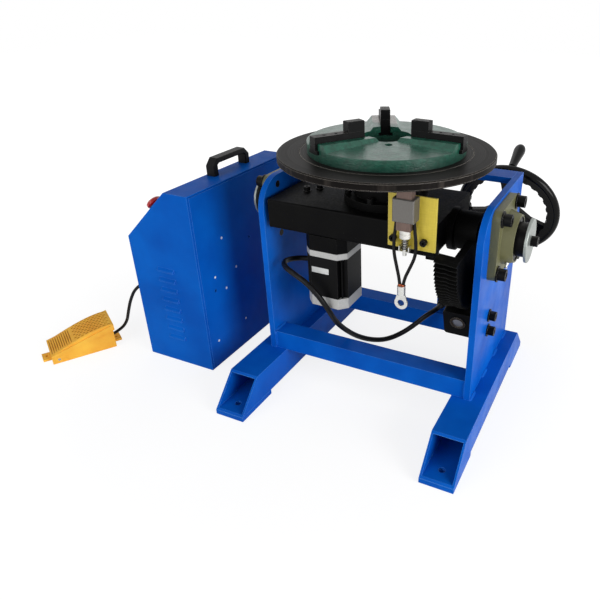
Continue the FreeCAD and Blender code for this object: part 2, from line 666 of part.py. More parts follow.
def grip_place():
    angle = math.radians(GRIP_ANGLE)
    return V(math.cos(angle), math.sin(angle), 0) * (WHEEL_RADIUS - WHEEL_RIM_THICKNESS / 2)


def handwheel_nut():
    """A dome nut on the end of the worm shaft."""
    nut = prism(hexagon(WHEEL_NUT_RADIUS), V(0, 0, WHEEL_NUT_HEIGHT))
    nut = nut.fuse(rod(WHEEL_BORE_RADIUS, WHEEL_NUT_THREAD, ORIGIN)).removeSplitter()
    return in_worm_frame(placed(nut, V(0, 0, WHEEL_DISTANCE + WHEEL_HUB_LENGTH / 2)))


def grip_frame(shape):
    """Places a piece drawn about +Z on the rim's grip hole, growing towards the operator's far side."""
    spot = grip_place()
    return in_worm_frame(placed(shape, V(spot.x, -spot.y, WHEEL_DISTANCE)))


def grip_pin():
    """The shouldered pin through the rim that the grip turns on."""
    half = WHEEL_RIM_THICKNESS / 2
    pin = rod(GRIP_PIN_RADIUS, half * 2 + GRIP_PIN_REACH, V(0, 0, -half))
    return grip_frame(pin)


def grip():
    """A revolving handle: waisted at the rim and full towards its round end."""
    gap = WHEEL_RIM_THICKNESS / 2 + FREE_GAP
    waist = GRIP_RADIUS * 0.72
    curve = Part.BSplineCurve()
    curve.interpolate([V(waist, 0, gap + 3), V(waist * 1.08, 0, gap + GRIP_LENGTH * 0.22),
                       V(GRIP_RADIUS, 0, gap + GRIP_LENGTH * 0.62),
                       V(GRIP_RADIUS * 0.86, 0, gap + GRIP_LENGTH * 0.92),
                       V(GRIP_RADIUS * 0.45, 0, gap + GRIP_LENGTH)])
    start, end = curve.StartPoint, curve.EndPoint
    edges = [Part.LineSegment(V(0, 0, gap), V(waist, 0, gap)).toShape(),
             Part.LineSegment(V(waist, 0, gap), start).toShape(), curve.toShape(),
             Part.LineSegment(end, V(0, 0, end.z)).toShape(),
             Part.LineSegment(V(0, 0, end.z), V(0, 0, gap)).toShape()]
    body = Part.Face(Part.Wire(edges)).revolve(ORIGIN, Z_AXIS, 360)
    bore = rod(GRIP_PIN_RADIUS + RUNNING_FIT, gap + GRIP_PIN_REACH + 1, V(0, 0, 0))
    return grip_frame(body.cut(bore))


# ---- tilting head -------------------------------------------------------------------------------------
def beam():
    """A box beam with two end plates, open for the spindle above and the drive below."""
    outer = block(BEAM_LEFT_X, BEAM_RIGHT_X, BEAM_FRONT_Y, BEAM_REAR_Y, BEAM_BOTTOM_Z, BEAM_TOP_Z)
    inner = block(BEAM_LEFT_X + BEAM_END_PLATE, BEAM_RIGHT_X - BEAM_END_PLATE, BEAM_FRONT_Y + BEAM_WALL,
                  BEAM_REAR_Y - BEAM_WALL, BEAM_BOTTOM_Z + BEAM_WALL, BEAM_TOP_Z - BEAM_WALL)
    long_edges = [edge for edge in outer.Edges if abs(edge.tangentAt(edge.FirstParameter).x) > 0.9]
    outer = outer.makeFillet(BEAM_WALL / 2, long_edges)
    holes = [rod(SPINDLE_RADIUS + FREE_GAP, BEAM_WALL, V(0, AXIS_Y, BEAM_TOP_Z - BEAM_WALL)),
             rod(SPINDLE_BORE_RADIUS, BEAM_WALL, V(0, AXIS_Y, BEAM_BOTTOM_Z)),
             rod(MOTOR_PILOT_RADIUS, BEAM_WALL, V(MOTOR_X, MOTOR_Y, BEAM_BOTTOM_Z))]
    holes += [rod(SMALL_SCREW_RADIUS, BEAM_WALL, V(x, y, BEAM_TOP_Z), Z_AXIS * -1)
              for x, y in BEAM_SCREW_PLACES]
    lug = block(BEAM_RIGHT_X - BEAM_LUG_LENGTH, BEAM_RIGHT_X, BEAM_FRONT_Y + BEAM_WALL,
                BEAM_FRONT_Y + BEAM_WALL + BEAM_LUG_WIDTH, BEAM_BOTTOM_Z - BEAM_LUG_DROP, BEAM_BOTTOM_Z + 1)
    return outer.cut([inner] + holes).fuse(lug).removeSplitter()


def trunnion(side):
    """A stub shaft: welded flange on the beam's end, shouldered journal through the bearing."""
    start = BEAM_RIGHT_X if side > 0 else -BEAM_LEFT_X
    end = PLATE_OUTER_X + BEARING_LENGTH + 2
    if side > 0:
        profile = [(0, 0), (TRUNNION_FLANGE_RADIUS, 0), (TRUNNION_FLANGE_RADIUS, TRUNNION_FLANGE_LENGTH),
                   (SHAFT_RADIUS, TRUNNION_FLANGE_LENGTH), (SHAFT_RADIUS, end - start), (0, end - start)]
    else:
        profile = [(0, 0), (SHAFT_RADIUS, 0), (SHAFT_RADIUS, end - start), (0, end - start)]
    return on_shaft(turned(profile), start, side)


def inner_ring(side):
    """The bearing's inner ring, standing proud of the housing."""
    length = BEARING_LENGTH - RING_START
    return on_shaft(ring(INNER_RING_RADIUS, SHAFT_RADIUS, length, V(0, 0, RING_START)), PLATE_OUTER_X, side)


def locking_collar(side):
    return on_shaft(ring(COLLAR_RADIUS, INNER_RING_RADIUS, COLLAR_LENGTH,
                         V(0, 0, BEARING_LENGTH - COLLAR_LENGTH)),
                    PLATE_OUTER_X, side)


def shaft_disc(side):
    """The retaining disc on the shaft's end, with its centre screw."""
    start = PLATE_OUTER_X + BEARING_LENGTH + 2
    disc = turned([(SHAFT_SCREW_RADIUS, 0), (SHAFT_DISC_RADIUS, 0),
                   (SHAFT_DISC_RADIUS, SHAFT_DISC_THICKNESS - 1),
                   (SHAFT_DISC_RADIUS - 1, SHAFT_DISC_THICKNESS), (SHAFT_SCREW_RADIUS, SHAFT_DISC_THICKNESS)])
    return on_shaft(disc, start, side)


def shaft_screw(side):
    start = V(BEARING_LENGTH + 2 + SHAFT_DISC_THICKNESS, 0, 0)
    screws = cap_screw(SHAFT_SCREW_RADIUS, SHAFT_DISC_THICKNESS, V(0, 0, start.x), Z_AXIS, washer=False)
    return [on_shaft(solid, PLATE_OUTER_X, side) for solid in screws]


def sector_gear():
    """The worm sector: helical teeth with throated tips on a deep rim, a web and a hub on the trunnion."""
    root = GEAR_RADIUS - DEDENDUM
    step = 2 * math.pi / GEAR_TEETH
    half_pitch = THREAD_PITCH / 4 - BACKLASH / 4
    root_half = (half_pitch + DEDENDUM * FLANK) / root
    tip_half = (half_pitch - (SECTOR_TIP_RADIUS - GEAR_RADIUS) * FLANK) / SECTOR_TIP_RADIUS
    first = math.ceil((math.radians(SECTOR_START) - MESH) / step)
    last = math.floor((math.radians(SECTOR_END) - MESH) / step)
    helix_turn = SECTOR_WIDTH * THREAD_PITCH / (2 * math.pi * WORM_PITCH_RADIUS) / GEAR_RADIUS

    def toothed_outline(across, turn):
        def spot(radius, angle):
            return V(across, -radius * math.cos(angle), -radius * math.sin(angle))
        points = []
        for tooth in range(first, last + 1):
            # a gap of the sector faces the thread at the mesh, so teeth stand half a step to each side
            middle = MESH + (tooth + 0.5) * step + turn
            points += [spot(root, middle - root_half), spot(SECTOR_TIP_RADIUS, middle - tip_half),
                       spot(SECTOR_TIP_RADIUS, middle + tip_half), spot(root, middle + root_half)]
        begin = MESH + (first + 0.5) * step - root_half + turn
        finish = MESH + (last + 0.5) * step + root_half + turn
        inner = root - SECTOR_RIM
        arc = [spot(inner, finish + (begin - finish) * k / SECTOR_ARC_STEPS)
               for k in range(SECTOR_ARC_STEPS + 1)]
        return Part.makePolygon(points + arc + [points[0]])

    rim = Part.makeLoft([toothed_outline(0, -helix_turn / 2), toothed_outline(SECTOR_WIDTH, helix_turn / 2)],
                        True, True)
    throat = Part.makeTorus(MESH_DISTANCE, WORM_PITCH_RADIUS - DEDENDUM + SECTOR_THROAT_GAP,
                            V(SECTOR_WIDTH / 2, 0, 0), X_AXIS)
    rim = rim.cut(throat)
    begin = MESH + (first + 0.5) * step
    finish = MESH + (last + 0.5) * step
    web = sector_slice(root - SECTOR_RIM / 2, begin, finish)
    web = placed(web, V(SECTOR_WIDTH - SECTOR_WEB, 0, 0))
    hub = rod(SECTOR_HUB_RADIUS, SECTOR_WIDTH, ORIGIN, X_AXIS)
    bore = rod(SHAFT_RADIUS, SECTOR_WIDTH, ORIGIN, X_AXIS)
    body = rim.fuse([web, hub]).cut(bore)
    return placed(body, V(SECTOR_LEFT_X, AXIS_Y, AXIS_Z))


def sector_slice(radius, begin, finish):
    """A pie slice across the tilt axis, SECTOR_WEB thick."""
    def spot(angle):
        return V(0, -radius * math.cos(angle), -radius * math.sin(angle))
    arc = Part.Arc(spot(begin), spot((begin + finish) / 2), spot(finish)).toShape()
    edges = [Part.LineSegment(ORIGIN, spot(begin)).toShape(), arc,
             Part.LineSegment(spot(finish), ORIGIN).toShape()]
    return Part.Face(Part.Wire(edges)).extrude(V(SECTOR_WEB, 0, 0))


def spindle_housing():
    """The flanged bearing housing that carries the turntable on the beam."""
    top = TABLE_BOTTOM_Z - TABLE_CLEARANCE
    height = top - BEAM_TOP_Z
    profile = [(SPINDLE_RADIUS + RUNNING_FIT, 0), (HUB_FLANGE_RADIUS, 0),
               (HUB_FLANGE_RADIUS, HUB_FLANGE_THICKNESS),
               (HUB_RADIUS, HUB_FLANGE_THICKNESS), (HUB_RADIUS, height - 2), (HUB_RADIUS - 2, height),
               (SPINDLE_RADIUS + RUNNING_FIT, height)]
    housing = turned(profile, V(0, AXIS_Y, BEAM_TOP_Z))
    return housing.cut([rod(SMALL_SCREW_RADIUS, HUB_FLANGE_THICKNESS, seat, Z_AXIS * -1)
                        for seat in housing_screw_seats()])


def housing_screw_seats():
    radius = (HUB_FLANGE_RADIUS + HUB_RADIUS) / 2 + 1
    angles = [math.radians(60 * k + 30) for k in range(6)]
    return [V(radius * math.cos(angle), AXIS_Y + radius * math.sin(angle), BEAM_TOP_Z + HUB_FLANGE_THICKNESS)
            for angle in angles]


def housing_screws():
    return [solid for seat in housing_screw_seats()
            for solid in cap_screw(SMALL_SCREW_RADIUS, HUB_FLANGE_THICKNESS, seat, Z_AXIS, washer=False)]


def beam_top_screws():
    """Two screws standing on the beam beside the turntable."""
    return [solid for x, y in BEAM_SCREW_PLACES
            for solid in cap_screw(SMALL_SCREW_RADIUS, BEAM_WALL, V(x, y, BEAM_TOP_Z), Z_AXIS)]


# ---- turntable motor ----------------------------------------------------------------------------------
def motor_section(flute):
    """The motor's square with cut corners; a flute turns each cut into a re-entrant channel."""
    half = MOTOR_SIZE / 2
    cut = MOTOR_CORNER
    corners = []
    for k in range(4):
        angle = 90 * k
        points = [V(half, half - cut, 0)]
        if flute:
            points += [V(half - flute, half - cut, 0), V(half - flute * 2, half - flute * 2, 0),
                       V(half - cut, half - flute, 0)]
        points += [V(half - cut, half, 0)]
        spin = FreeCAD.Rotation(Z_AXIS, angle)
        corners += [spin.multVec(point) for point in points]
    return corners


def motor_piece(top, length, flute=0.0):
    return placed(prism(motor_section(flute), V(0, 0, -length)), V(MOTOR_X, MOTOR_Y, top))


def motor_screws():
    """Four long screws at the motor's corners, heads under the rear cap's flange."""
    solids = []
    reach = MOTOR_SIZE / 2 - MOTOR_FLUTE * 1.5
    for dx in (-1, 1):
        for dy in (-1, 1):
            foot = V(MOTOR_X + dx * reach, MOTOR_Y + dy * reach, MOTOR_STACK_Z)
            solids.append(rod(MOTOR_SCREW_RADIUS, MOTOR_STACK_LENGTH, foot))
    return solids


def motor_gland():
    """The rubber strain relief on the motor's left side."""
    start = V(MOTOR_X - MOTOR_SIZE / 2, MOTOR_GLAND_Y, MOTOR_CABLE_Z)
    return rod(MOTOR_GLAND_RADIUS, MOTOR_GLAND_LENGTH, start, X_AXIS * -1)


# ---- turntable and chuck ------------------------------------------------------------------------------
def turntable():
    """The faceplate: chamfered rim, a turned ring groove, a centre bore and the chuck's screw holes."""
    bottom, top = TABLE_BOTTOM_Z, TABLE_TOP_Z
    bevel = TABLE_CHAMFER
    profile = [(SPINDLE_RADIUS, bottom), (TABLE_RADIUS - bevel, bottom), (TABLE_RADIUS, bottom + bevel),
               (TABLE_RADIUS, top - bevel), (TABLE_RADIUS - bevel, top), (GROOVE_RADIUS + 1, top),
               (GROOVE_RADIUS, top - 1), (GROOVE_RADIUS - 1, top), (SPINDLE_RADIUS, top)]
    disc = turned(profile, TABLE_CENTRE)
    return disc.cut(chuck_bolt_holes(TABLE_BOTTOM_Z))


def spindle():
    """The hollow spindle under the faceplate, running in the housing on the beam."""
    low = BEAM_TOP_Z - BEAM_WALL
    profile = [(SPINDLE_BORE_RADIUS, low), (SPINDLE_RADIUS, low), (SPINDLE_RADIUS, TABLE_TOP_Z),
               (SPINDLE_BORE_RADIUS, TABLE_TOP_Z)]
    return turned(profile, TABLE_CENTRE)


def chuck_directions():
    return [CHUCK_ANGLE + 120 * k for k in range(3)]


def chuck_bolt_holes(z):
    holes = []
    for direction in chuck_directions():
        angle = math.radians(direction + 60)
        holes.append(rod(CHUCK_BOLT_RADIUS, TABLE_THICKNESS + CHUCK_RIB_HEIGHT,
                         V(CHUCK_BOLT_CIRCLE_RADIUS * math.cos(angle),
                           AXIS_Y + CHUCK_BOLT_CIRCLE_RADIUS * math.sin(angle), z)))
    return holes


def chuck_rib(direction):
    """A bevelled rib from the centre bore to the rim."""
    top, foot = CHUCK_RIB_WIDTH / 2, CHUCK_RIB_FOOT / 2
    low = CHUCK_RIM_HEIGHT - 4
    section = [V(0, -foot, low), V(0, foot, low), V(0, foot, CHUCK_RIM_HEIGHT - 2),
               V(0, top, CHUCK_RIB_HEIGHT),
               V(0, -top, CHUCK_RIB_HEIGHT), V(0, -foot, CHUCK_RIM_HEIGHT - 2)]
    return turned_about(prism(section, V(CHUCK_RADIUS, 0, 0)), direction)


def jaw_slot(direction):
    """The T-slot along one rib."""
    neck = JAW_WIDTH / 2 + SLIDE_FIT
    foot = JAW_FOOT_WIDTH / 2 + SLIDE_FIT
    low = JAW_SLOT_Z
    high = JAW_SLOT_Z + JAW_FOOT_HEIGHT + 2 * SLIDE_FIT
    section = [V(0, -foot, low), V(0, foot, low), V(0, foot, high), V(0, neck, high),
               V(0, neck, CHUCK_RIB_HEIGHT + 1),
               V(0, -neck, CHUCK_RIB_HEIGHT + 1), V(0, -neck, high), V(0, -foot, high)]
    return turned_about(prism(section, V(CHUCK_RADIUS + 1, 0, 0)), direction)


def chuck_body():
    """A round chuck body: shallow cone between three bevelled, slotted ribs, bored through the middle."""
    profile = [(CHUCK_BORE_RADIUS, 0), (CHUCK_RADIUS, 0), (CHUCK_RADIUS, CHUCK_RIM_HEIGHT - 1),
               (CHUCK_RADIUS - 1.5, CHUCK_RIM_HEIGHT), (CHUCK_BORE_RADIUS, CHUCK_CENTRE_HEIGHT)]
    body = turned(profile)
    shell = ring(CHUCK_RADIUS, CHUCK_BORE_RADIUS, CHUCK_RIB_HEIGHT, ORIGIN)
    ribs = [chuck_rib(direction).common(shell) for direction in chuck_directions()]
    body = body.fuse(ribs).cut([jaw_slot(direction) for direction in chuck_directions()])
    body = placed(body, V(0, AXIS_Y, TABLE_TOP_Z))
    return body.cut(chuck_bolt_holes(TABLE_TOP_Z))


def chuck_screws():
    """The socket screws sunk in the chuck's three mounting holes."""
    solids = []
    for direction in chuck_directions():
        angle = math.radians(direction + 60)
        place = V(CHUCK_BOLT_CIRCLE_RADIUS * math.cos(angle),
                  AXIS_Y + CHUCK_BOLT_CIRCLE_RADIUS * math.sin(angle),
                  TABLE_BOTTOM_Z)
        solids.append(rod(CHUCK_BOLT_RADIUS, TABLE_THICKNESS + CHUCK_SCREW_HEIGHT, place))
    return solids


def jaw(direction):
    """One jaw, drawn along +X: T-footed slide with two holes, and the gripping block on its inner end."""
    neck = JAW_WIDTH / 2
    foot = JAW_FOOT_WIDTH / 2
    low = JAW_SLOT_Z + SLIDE_FIT
    high = low + JAW_FOOT_HEIGHT
    top = CHUCK_RIB_HEIGHT + JAW_RISE
    section = [V(0, -foot, low), V(0, foot, low), V(0, foot, high), V(0, neck, high), V(0, neck, top),
               V(0, -neck, top), V(0, -neck, high), V(0, -foot, high)]
    slide = placed(prism(section, V(JAW_OUTER_RADIUS - JAW_INNER_RADIUS, 0, 0)), V(JAW_INNER_RADIUS, 0, 0))
    holes = [rod(JAW_HOLE_RADIUS, top, V(radius, 0, top - 12)) for radius in JAW_HOLE_PLACES]
    slide = slide.cut(holes)
    block_half = JAW_WIDTH / 2
    gripper = block(JAW_INNER_RADIUS, JAW_INNER_RADIUS + JAW_BLOCK_LENGTH, -block_half, block_half, top,
                    top + JAW_BLOCK_HEIGHT)
    edges = [edge for edge in gripper.Edges if abs(edge.CenterOfMass.z - top - JAW_BLOCK_HEIGHT) < 0.01]
    gripper = gripper.makeChamfer(1.0, edges)
    place = V(0, AXIS_Y, TABLE_TOP_Z)
    return [placed(turned_about(piece, direction), place) for piece in (slide, gripper)]


# ---- ground brush -------------------------------------------------------------------------------------
def brush_place(x, y, z):
    return V(BRUSH_X + x, BEAM_FRONT_Y - BRUSH_PLATE_THICKNESS - BRUSH_DEPTH / 2 + y, z)


def brush_plate():
    """The insulating plate screwed to the front of the beam."""
    rear = BEAM_FRONT_Y
    plate = block(BRUSH_PLATE_LEFT_X, BRUSH_PLATE_RIGHT_X, rear - BRUSH_PLATE_THICKNESS, rear,
                  BRUSH_PLATE_BOTTOM_Z, BRUSH_PLATE_TOP_Z)
    return plate.cut([rod(PLATE_SCREW_RADIUS, BRUSH_PLATE_THICKNESS,
                          V(x, rear - BRUSH_PLATE_THICKNESS, PLATE_SCREW_Z),
                          Y_AXIS) for x in PLATE_SCREW_X])


def brush_plate_screws():
    solids = []
    for x in PLATE_SCREW_X:
        seat = V(x, BEAM_FRONT_Y - BRUSH_PLATE_THICKNESS, PLATE_SCREW_Z)
        solids += cap_screw(PLATE_SCREW_RADIUS, BRUSH_PLATE_THICKNESS, seat, Y_AXIS * -1, washer=False)
    return solids


def brush_block():
    """The aluminium brush holder, with bevelled front edges and a way for the brush through it."""
    low = brush_place(-BRUSH_WIDTH / 2, -BRUSH_DEPTH / 2, BRUSH_BOTTOM_Z)
    holder = Part.makeBox(BRUSH_WIDTH, BRUSH_DEPTH, BRUSH_TOP_Z - BRUSH_BOTTOM_Z, low)
    front = [edge for edge in holder.Edges if abs(edge.CenterOfMass.y - low.y) < 0.01]
    holder = holder.makeChamfer(1.5, front)
    return holder.cut(brush_stock(BRUSH_BOTTOM_Z - 1, BRUSH_TOP_Z + 1, 0))


def brush_stock(low, high, slack):
    corner = brush_place(-BRUSH_NECK_WIDTH / 2 - slack, -BRUSH_NECK_DEPTH / 2 - slack, low)
    return Part.makeBox(BRUSH_NECK_WIDTH + 2 * slack, BRUSH_NECK_DEPTH + 2 * slack, high - low, corner)


def brush():
    """The copper-graphite brush: it stands through the holder and bears on the underside of the table."""
    return brush_stock(BRUSH_BOTTOM_Z - BRUSH_NECK_DROP, TABLE_BOTTOM_Z - FREE_GAP, 0)


def brush_nut():
    """The white insulating nut in two rings under the brush."""
    top = BRUSH_BOTTOM_Z - BRUSH_NECK_DROP
    half = BRUSH_NUT_HEIGHT / 2
    radius = BRUSH_NUT_RADIUS
    profile = [(BRUSH_ROD_RADIUS, top), (radius, top), (radius, top - half + 1), (radius - 1.2, top - half),
               (radius, top - half - 1), (radius, top - 2 * half), (BRUSH_ROD_RADIUS, top - 2 * half)]
    return turned(profile, brush_place(0, 0, 0))


def brush_rod():
    """The rod that guides the spring, with a small nut below the clip."""
    top = BRUSH_BOTTOM_Z - BRUSH_NECK_DROP
    length = BRUSH_NUT_HEIGHT + SPRING_LENGTH + CLIP_HEIGHT
    return rod(BRUSH_ROD_RADIUS, length, brush_place(0, 0, top - length))


def brush_spring():
    """A compression spring between the nut and the clip."""
    bottom = BRUSH_BOTTOM_Z - BRUSH_NECK_DROP - BRUSH_NUT_HEIGHT - SPRING_LENGTH
    wire = SPRING_WIRE_RADIUS
    pitch = (SPRING_LENGTH - 2 * wire) / SPRING_TURNS
    helix = Part.Wire(Part.makeHelix(pitch, pitch * SPRING_TURNS, SPRING_RADIUS - wire))
    section = Part.makePolygon([V(SPRING_RADIUS - wire + wire * math.cos(math.radians(60 * k)), 0,
                                  wire * math.sin(math.radians(60 * k))) for k in range(7)])
    coil = helix.makePipeShell([section], True, True)
    return placed(coil, brush_place(0, 0, bottom + wire))


def brush_clip():
    """The bright U-shaped clip that holds the spring up from below."""
    low = BRUSH_BOTTOM_Z - BRUSH_NECK_DROP - BRUSH_NUT_HEIGHT - SPRING_LENGTH
    half = CLIP_WIDTH / 2
    outer = block(-half, half, -CLIP_DEPTH / 2, CLIP_DEPTH / 2, low - CLIP_SHEET, low + CLIP_HEIGHT)
    inner = block(-half + CLIP_SHEET, half - CLIP_SHEET, -CLIP_DEPTH, CLIP_DEPTH, low, low + CLIP_HEIGHT)
    clip = outer.cut([inner, rod(BRUSH_ROD_RADIUS, 10, V(0, 0, low - 5))])
    return placed(clip, brush_place(0, 0, 0))


def ring_lug():
    """The cable lug that hangs from the two leads: a flat ring and a crimped barrel."""
    eye = brush_place(LUG_X - BRUSH_X, 0, LUG_Z)
    half = LUG_THICKNESS / 2
    disc = rod(LUG_RING_RADIUS, LUG_THICKNESS, eye - V(0, half, 0), Y_AXIS)
    neck = prism([V(-LUG_RING_RADIUS + 1, 0, 4), V(LUG_RING_RADIUS - 1, 0, 4),
                  V(LUG_BARREL_RADIUS, 0, LUG_NECK),
                  V(-LUG_BARREL_RADIUS, 0, LUG_NECK)], V(0, LUG_THICKNESS, 0))
    barrel = rod(LUG_BARREL_RADIUS, LUG_BARREL_LENGTH, V(0, half, LUG_NECK))
    body = placed(neck.fuse(barrel), eye - V(0, half, 0))
    hole = rod(LUG_HOLE_RADIUS, LUG_THICKNESS * 3, eye - V(0, half * 3, 0), Y_AXIS)
    return disc.fuse(body).removeSplitter().cut(hole)


# ---- control box --------------------------------------------------------------------------------------
def box_outline(inset=0.0):
    """The cabinet's side profile: a slanted panel leads up to the narrow top."""
    left, right = BOX_LEFT_X + inset, BOX_RIGHT_X - inset
    top = BOX_HEIGHT - inset
    slant = BOX_SLANT_Z - inset * 0.5
    shoulder = BOX_RIGHT_X - BOX_TOP_DEPTH + inset * 0.5
    return [V(left, 0, inset), V(right, 0, inset), V(right, 0, top), V(shoulder, 0, top), V(left, 0, slant)]


def cabinet():
    """The folded sheet cabinet with hooded louvres in its near side, open to the rear cover."""
    outer = placed(prism(box_outline(), V(0, BOX_REAR_Y - BOX_FRONT_Y, 0)), V(0, BOX_FRONT_Y, 0))
    depth = BOX_REAR_Y - BOX_FRONT_Y - 2 * BOX_SHEET
    inner = placed(prism(box_outline(BOX_SHEET), V(0, depth, 0)), V(0, BOX_FRONT_Y + BOX_SHEET, 0))
    mouth = block(BOX_RIGHT_X - 2 * BOX_SHEET, BOX_RIGHT_X + 1, BOX_FRONT_Y + COVER_MARGIN,
                  BOX_REAR_Y - COVER_MARGIN,
                  COVER_MARGIN, BOX_HEIGHT - COVER_MARGIN)
    shell = outer.cut([inner, mouth])
    pairs = [louvre_hood(face_y, out, LOUVRE_FIRST_Z + LOUVRE_PITCH * k)
             for k in range(LOUVRE_COUNT) for face_y, out in ((BOX_FRONT_Y, -1), (BOX_REAR_Y, 1))]
    shell = shell.fuse([hood for hood, hollow in pairs]).cut([hollow for hood, hollow in pairs])
    holes = [rod(PANEL_HOLE_RADIUS, 8 * BOX_SHEET, place - PANEL_NORMAL * 4 * BOX_SHEET, PANEL_NORMAL)
             for place in panel_places()]
    holes += [rod(SOCKET_RADIUS, 4 * BOX_SHEET, V(BOX_LEFT_X - 2 * BOX_SHEET, y, SOCKET_Z), X_AXIS)
              for y in SOCKET_Y]
    return shell.cut(holes)


def louvre_hood(face_y, out, z):
    """A pressed hood over one slit, open at the bottom and rooted in the sheet."""
    wall = LOUVRE_SHEET
    root = -out * BOX_SHEET / 2
    tip = out * LOUVRE_DEPTH
    inner_tip = out * (LOUVRE_DEPTH - wall)
    hood = prism([V(0, root, z + LOUVRE_HEIGHT), V(0, 0, z + LOUVRE_HEIGHT),
                  V(0, tip, z + LOUVRE_HEIGHT * 0.35),
                  V(0, tip, z), V(0, root, z)], V(LOUVRE_LENGTH, 0, 0))
    hollow = prism([V(wall, 2 * root, z - 1), V(wall, inner_tip, z - 1),
                    V(wall, inner_tip, z + LOUVRE_HEIGHT * 0.3),
                    V(wall, 0, z + LOUVRE_HEIGHT * 0.7), V(wall, 2 * root, z + LOUVRE_HEIGHT * 0.7)],
                   V(LOUVRE_LENGTH - 2 * wall, 0, 0))
    place = V(LOUVRE_X, face_y, 0)
    return placed(hood, place), placed(hollow, place)


def panel_places():
    """Centres of the panel's fittings: emergency stop, speed knob and direction switch."""
    return [PANEL_MIDDLE + V(0, y, 0) for y in (ESTOP_Y, KNOB_Y, SWITCH_Y)]


def on_panel(shape, y):
    """Places a piece drawn about +Z on the slanted panel."""
    return placed(shape, PANEL_MIDDLE + V(0, y, 0), FreeCAD.Rotation(Z_AXIS, PANEL_NORMAL))


def box_cover():
    """The removable cover on the side that faces the frame, screwed and vented with small holes."""
    cover = block(BOX_RIGHT_X, BOX_RIGHT_X + BOX_SHEET, BOX_FRONT_Y + COVER_EDGE, BOX_REAR_Y - COVER_EDGE,
                  COVER_EDGE, BOX_HEIGHT - COVER_EDGE)
    return cover.cut([rod(COVER_HOLE_RADIUS, 2 * BOX_SHEET, V(BOX_RIGHT_X - 1, y, z), X_AXIS)
                      for y, z in COVER_HOLES])


def carrying_handle():
    """The bow handle on top: two legs and a grip bar with cut corners."""
    half = HANDLE_BAR / 2
    low, high = BOX_HEIGHT, BOX_HEIGHT + HANDLE_HEIGHT
    near, far = HANDLE_FRONT_Y, HANDLE_REAR_Y
    cut = HANDLE_HEIGHT * 0.4
    wide = HANDLE_BAR * 1.3
    outer = [V(0, near, low), V(0, near, high - cut), V(0, near + cut, high), V(0, far - cut, high),
             V(0, far, high - cut), V(0, far, low), V(0, far - wide, low), V(0, far - wide, high - cut),
             V(0, far - cut - half, high - HANDLE_BAR), V(0, near + cut + half, high - HANDLE_BAR),
             V(0, near + wide, high - cut), V(0, near + wide, low)]
    bow = placed(prism(outer, V(HANDLE_THICKNESS, 0, 0)), V(HANDLE_X - HANDLE_THICKNESS / 2, 0, 0))
    edges = [edge for edge in bow.Edges if abs(edge.tangentAt(edge.FirstParameter).x) < 0.1
             and edge.CenterOfMass.z > low + 1]
    return bow.makeChamfer(1.5, edges)


def estop_base():
    bore = ESTOP_STEM_RADIUS + RUNNING_FIT
    collar = ring(ESTOP_BASE_RADIUS, bore, ESTOP_COLLAR, ORIGIN)
    bush = ring(PANEL_HOLE_RADIUS - RUNNING_FIT, bore, ESTOP_BUSH, V(0, 0, -ESTOP_BUSH))
    return on_panel(collar.fuse(bush).removeSplitter(), ESTOP_Y)


def estop_button():
    """The mushroom head and stem: it travels into its base and latches."""
    lift = ESTOP_COLLAR + ESTOP_TRAVEL + 1
    head = turned([(0, lift), (ESTOP_HEAD_RADIUS - 2, lift), (ESTOP_HEAD_RADIUS, lift + 3),
                   (ESTOP_HEAD_RADIUS - 1, lift + 8), (ESTOP_HEAD_RADIUS - 5, lift + 11), (0, lift + 12)])
    stem = rod(ESTOP_STEM_RADIUS, lift + ESTOP_STEM_DEPTH, V(0, 0, -ESTOP_STEM_DEPTH))
    return on_panel(head.fuse(stem).removeSplitter(), ESTOP_Y)


def panel_bush(y):
    """A threaded bush with its ring nut, seated in the panel."""
    bore = KNOB_SHAFT_RADIUS + RUNNING_FIT
    nut = ring(PANEL_NUT_RADIUS, bore, PANEL_NUT_HEIGHT, ORIGIN)
    bush = ring(PANEL_HOLE_RADIUS - RUNNING_FIT, bore, PANEL_BUSH, V(0, 0, -PANEL_BUSH))
    return on_panel(nut.fuse(bush).removeSplitter(), y)


def speed_knob():
    """A fluted knob on its potentiometer shaft."""
    low = PANEL_NUT_HEIGHT + FREE_GAP
    skirt = low + KNOB_HEIGHT * 0.25
    body = turned([(0, low), (KNOB_RADIUS, low), (KNOB_RADIUS, skirt - 2), (KNOB_RADIUS - 3, skirt),
                   (KNOB_RADIUS - 4, KNOB_HEIGHT), (0, KNOB_HEIGHT)])
    flute = rod(2, KNOB_HEIGHT, V(KNOB_RADIUS - 2.4, 0, skirt))
    flutes = [turned_about(flute, 360 / KNOB_FLUTES * k) for k in range(KNOB_FLUTES)]
    stem = rod(KNOB_SHAFT_RADIUS, KNOB_SHAFT_DEPTH + low + 1, V(0, 0, -KNOB_SHAFT_DEPTH))
    return on_panel(body.cut(flutes).fuse(stem), KNOB_Y)


def direction_switch():
    """A three-position selector: round collar with a raised finger bar."""
    low = PANEL_NUT_HEIGHT + FREE_GAP
    collar_height = KNOB_HEIGHT * 0.28
    collar = rod(KNOB_RADIUS - 2, collar_height, V(0, 0, low))
    bar = block(-KNOB_RADIUS + 1, KNOB_RADIUS - 1, -3, 3, low + collar_height - 1, KNOB_HEIGHT)
    bar = bar.makeFillet(2.5, [edge for edge in bar.Edges
                               if abs(edge.tangentAt(edge.FirstParameter).z) > 0.9])
    stem = rod(KNOB_SHAFT_RADIUS, KNOB_SHAFT_DEPTH + low + 1, V(0, 0, -KNOB_SHAFT_DEPTH))
    return on_panel(collar.fuse([bar, stem]).removeSplitter(), SWITCH_Y)


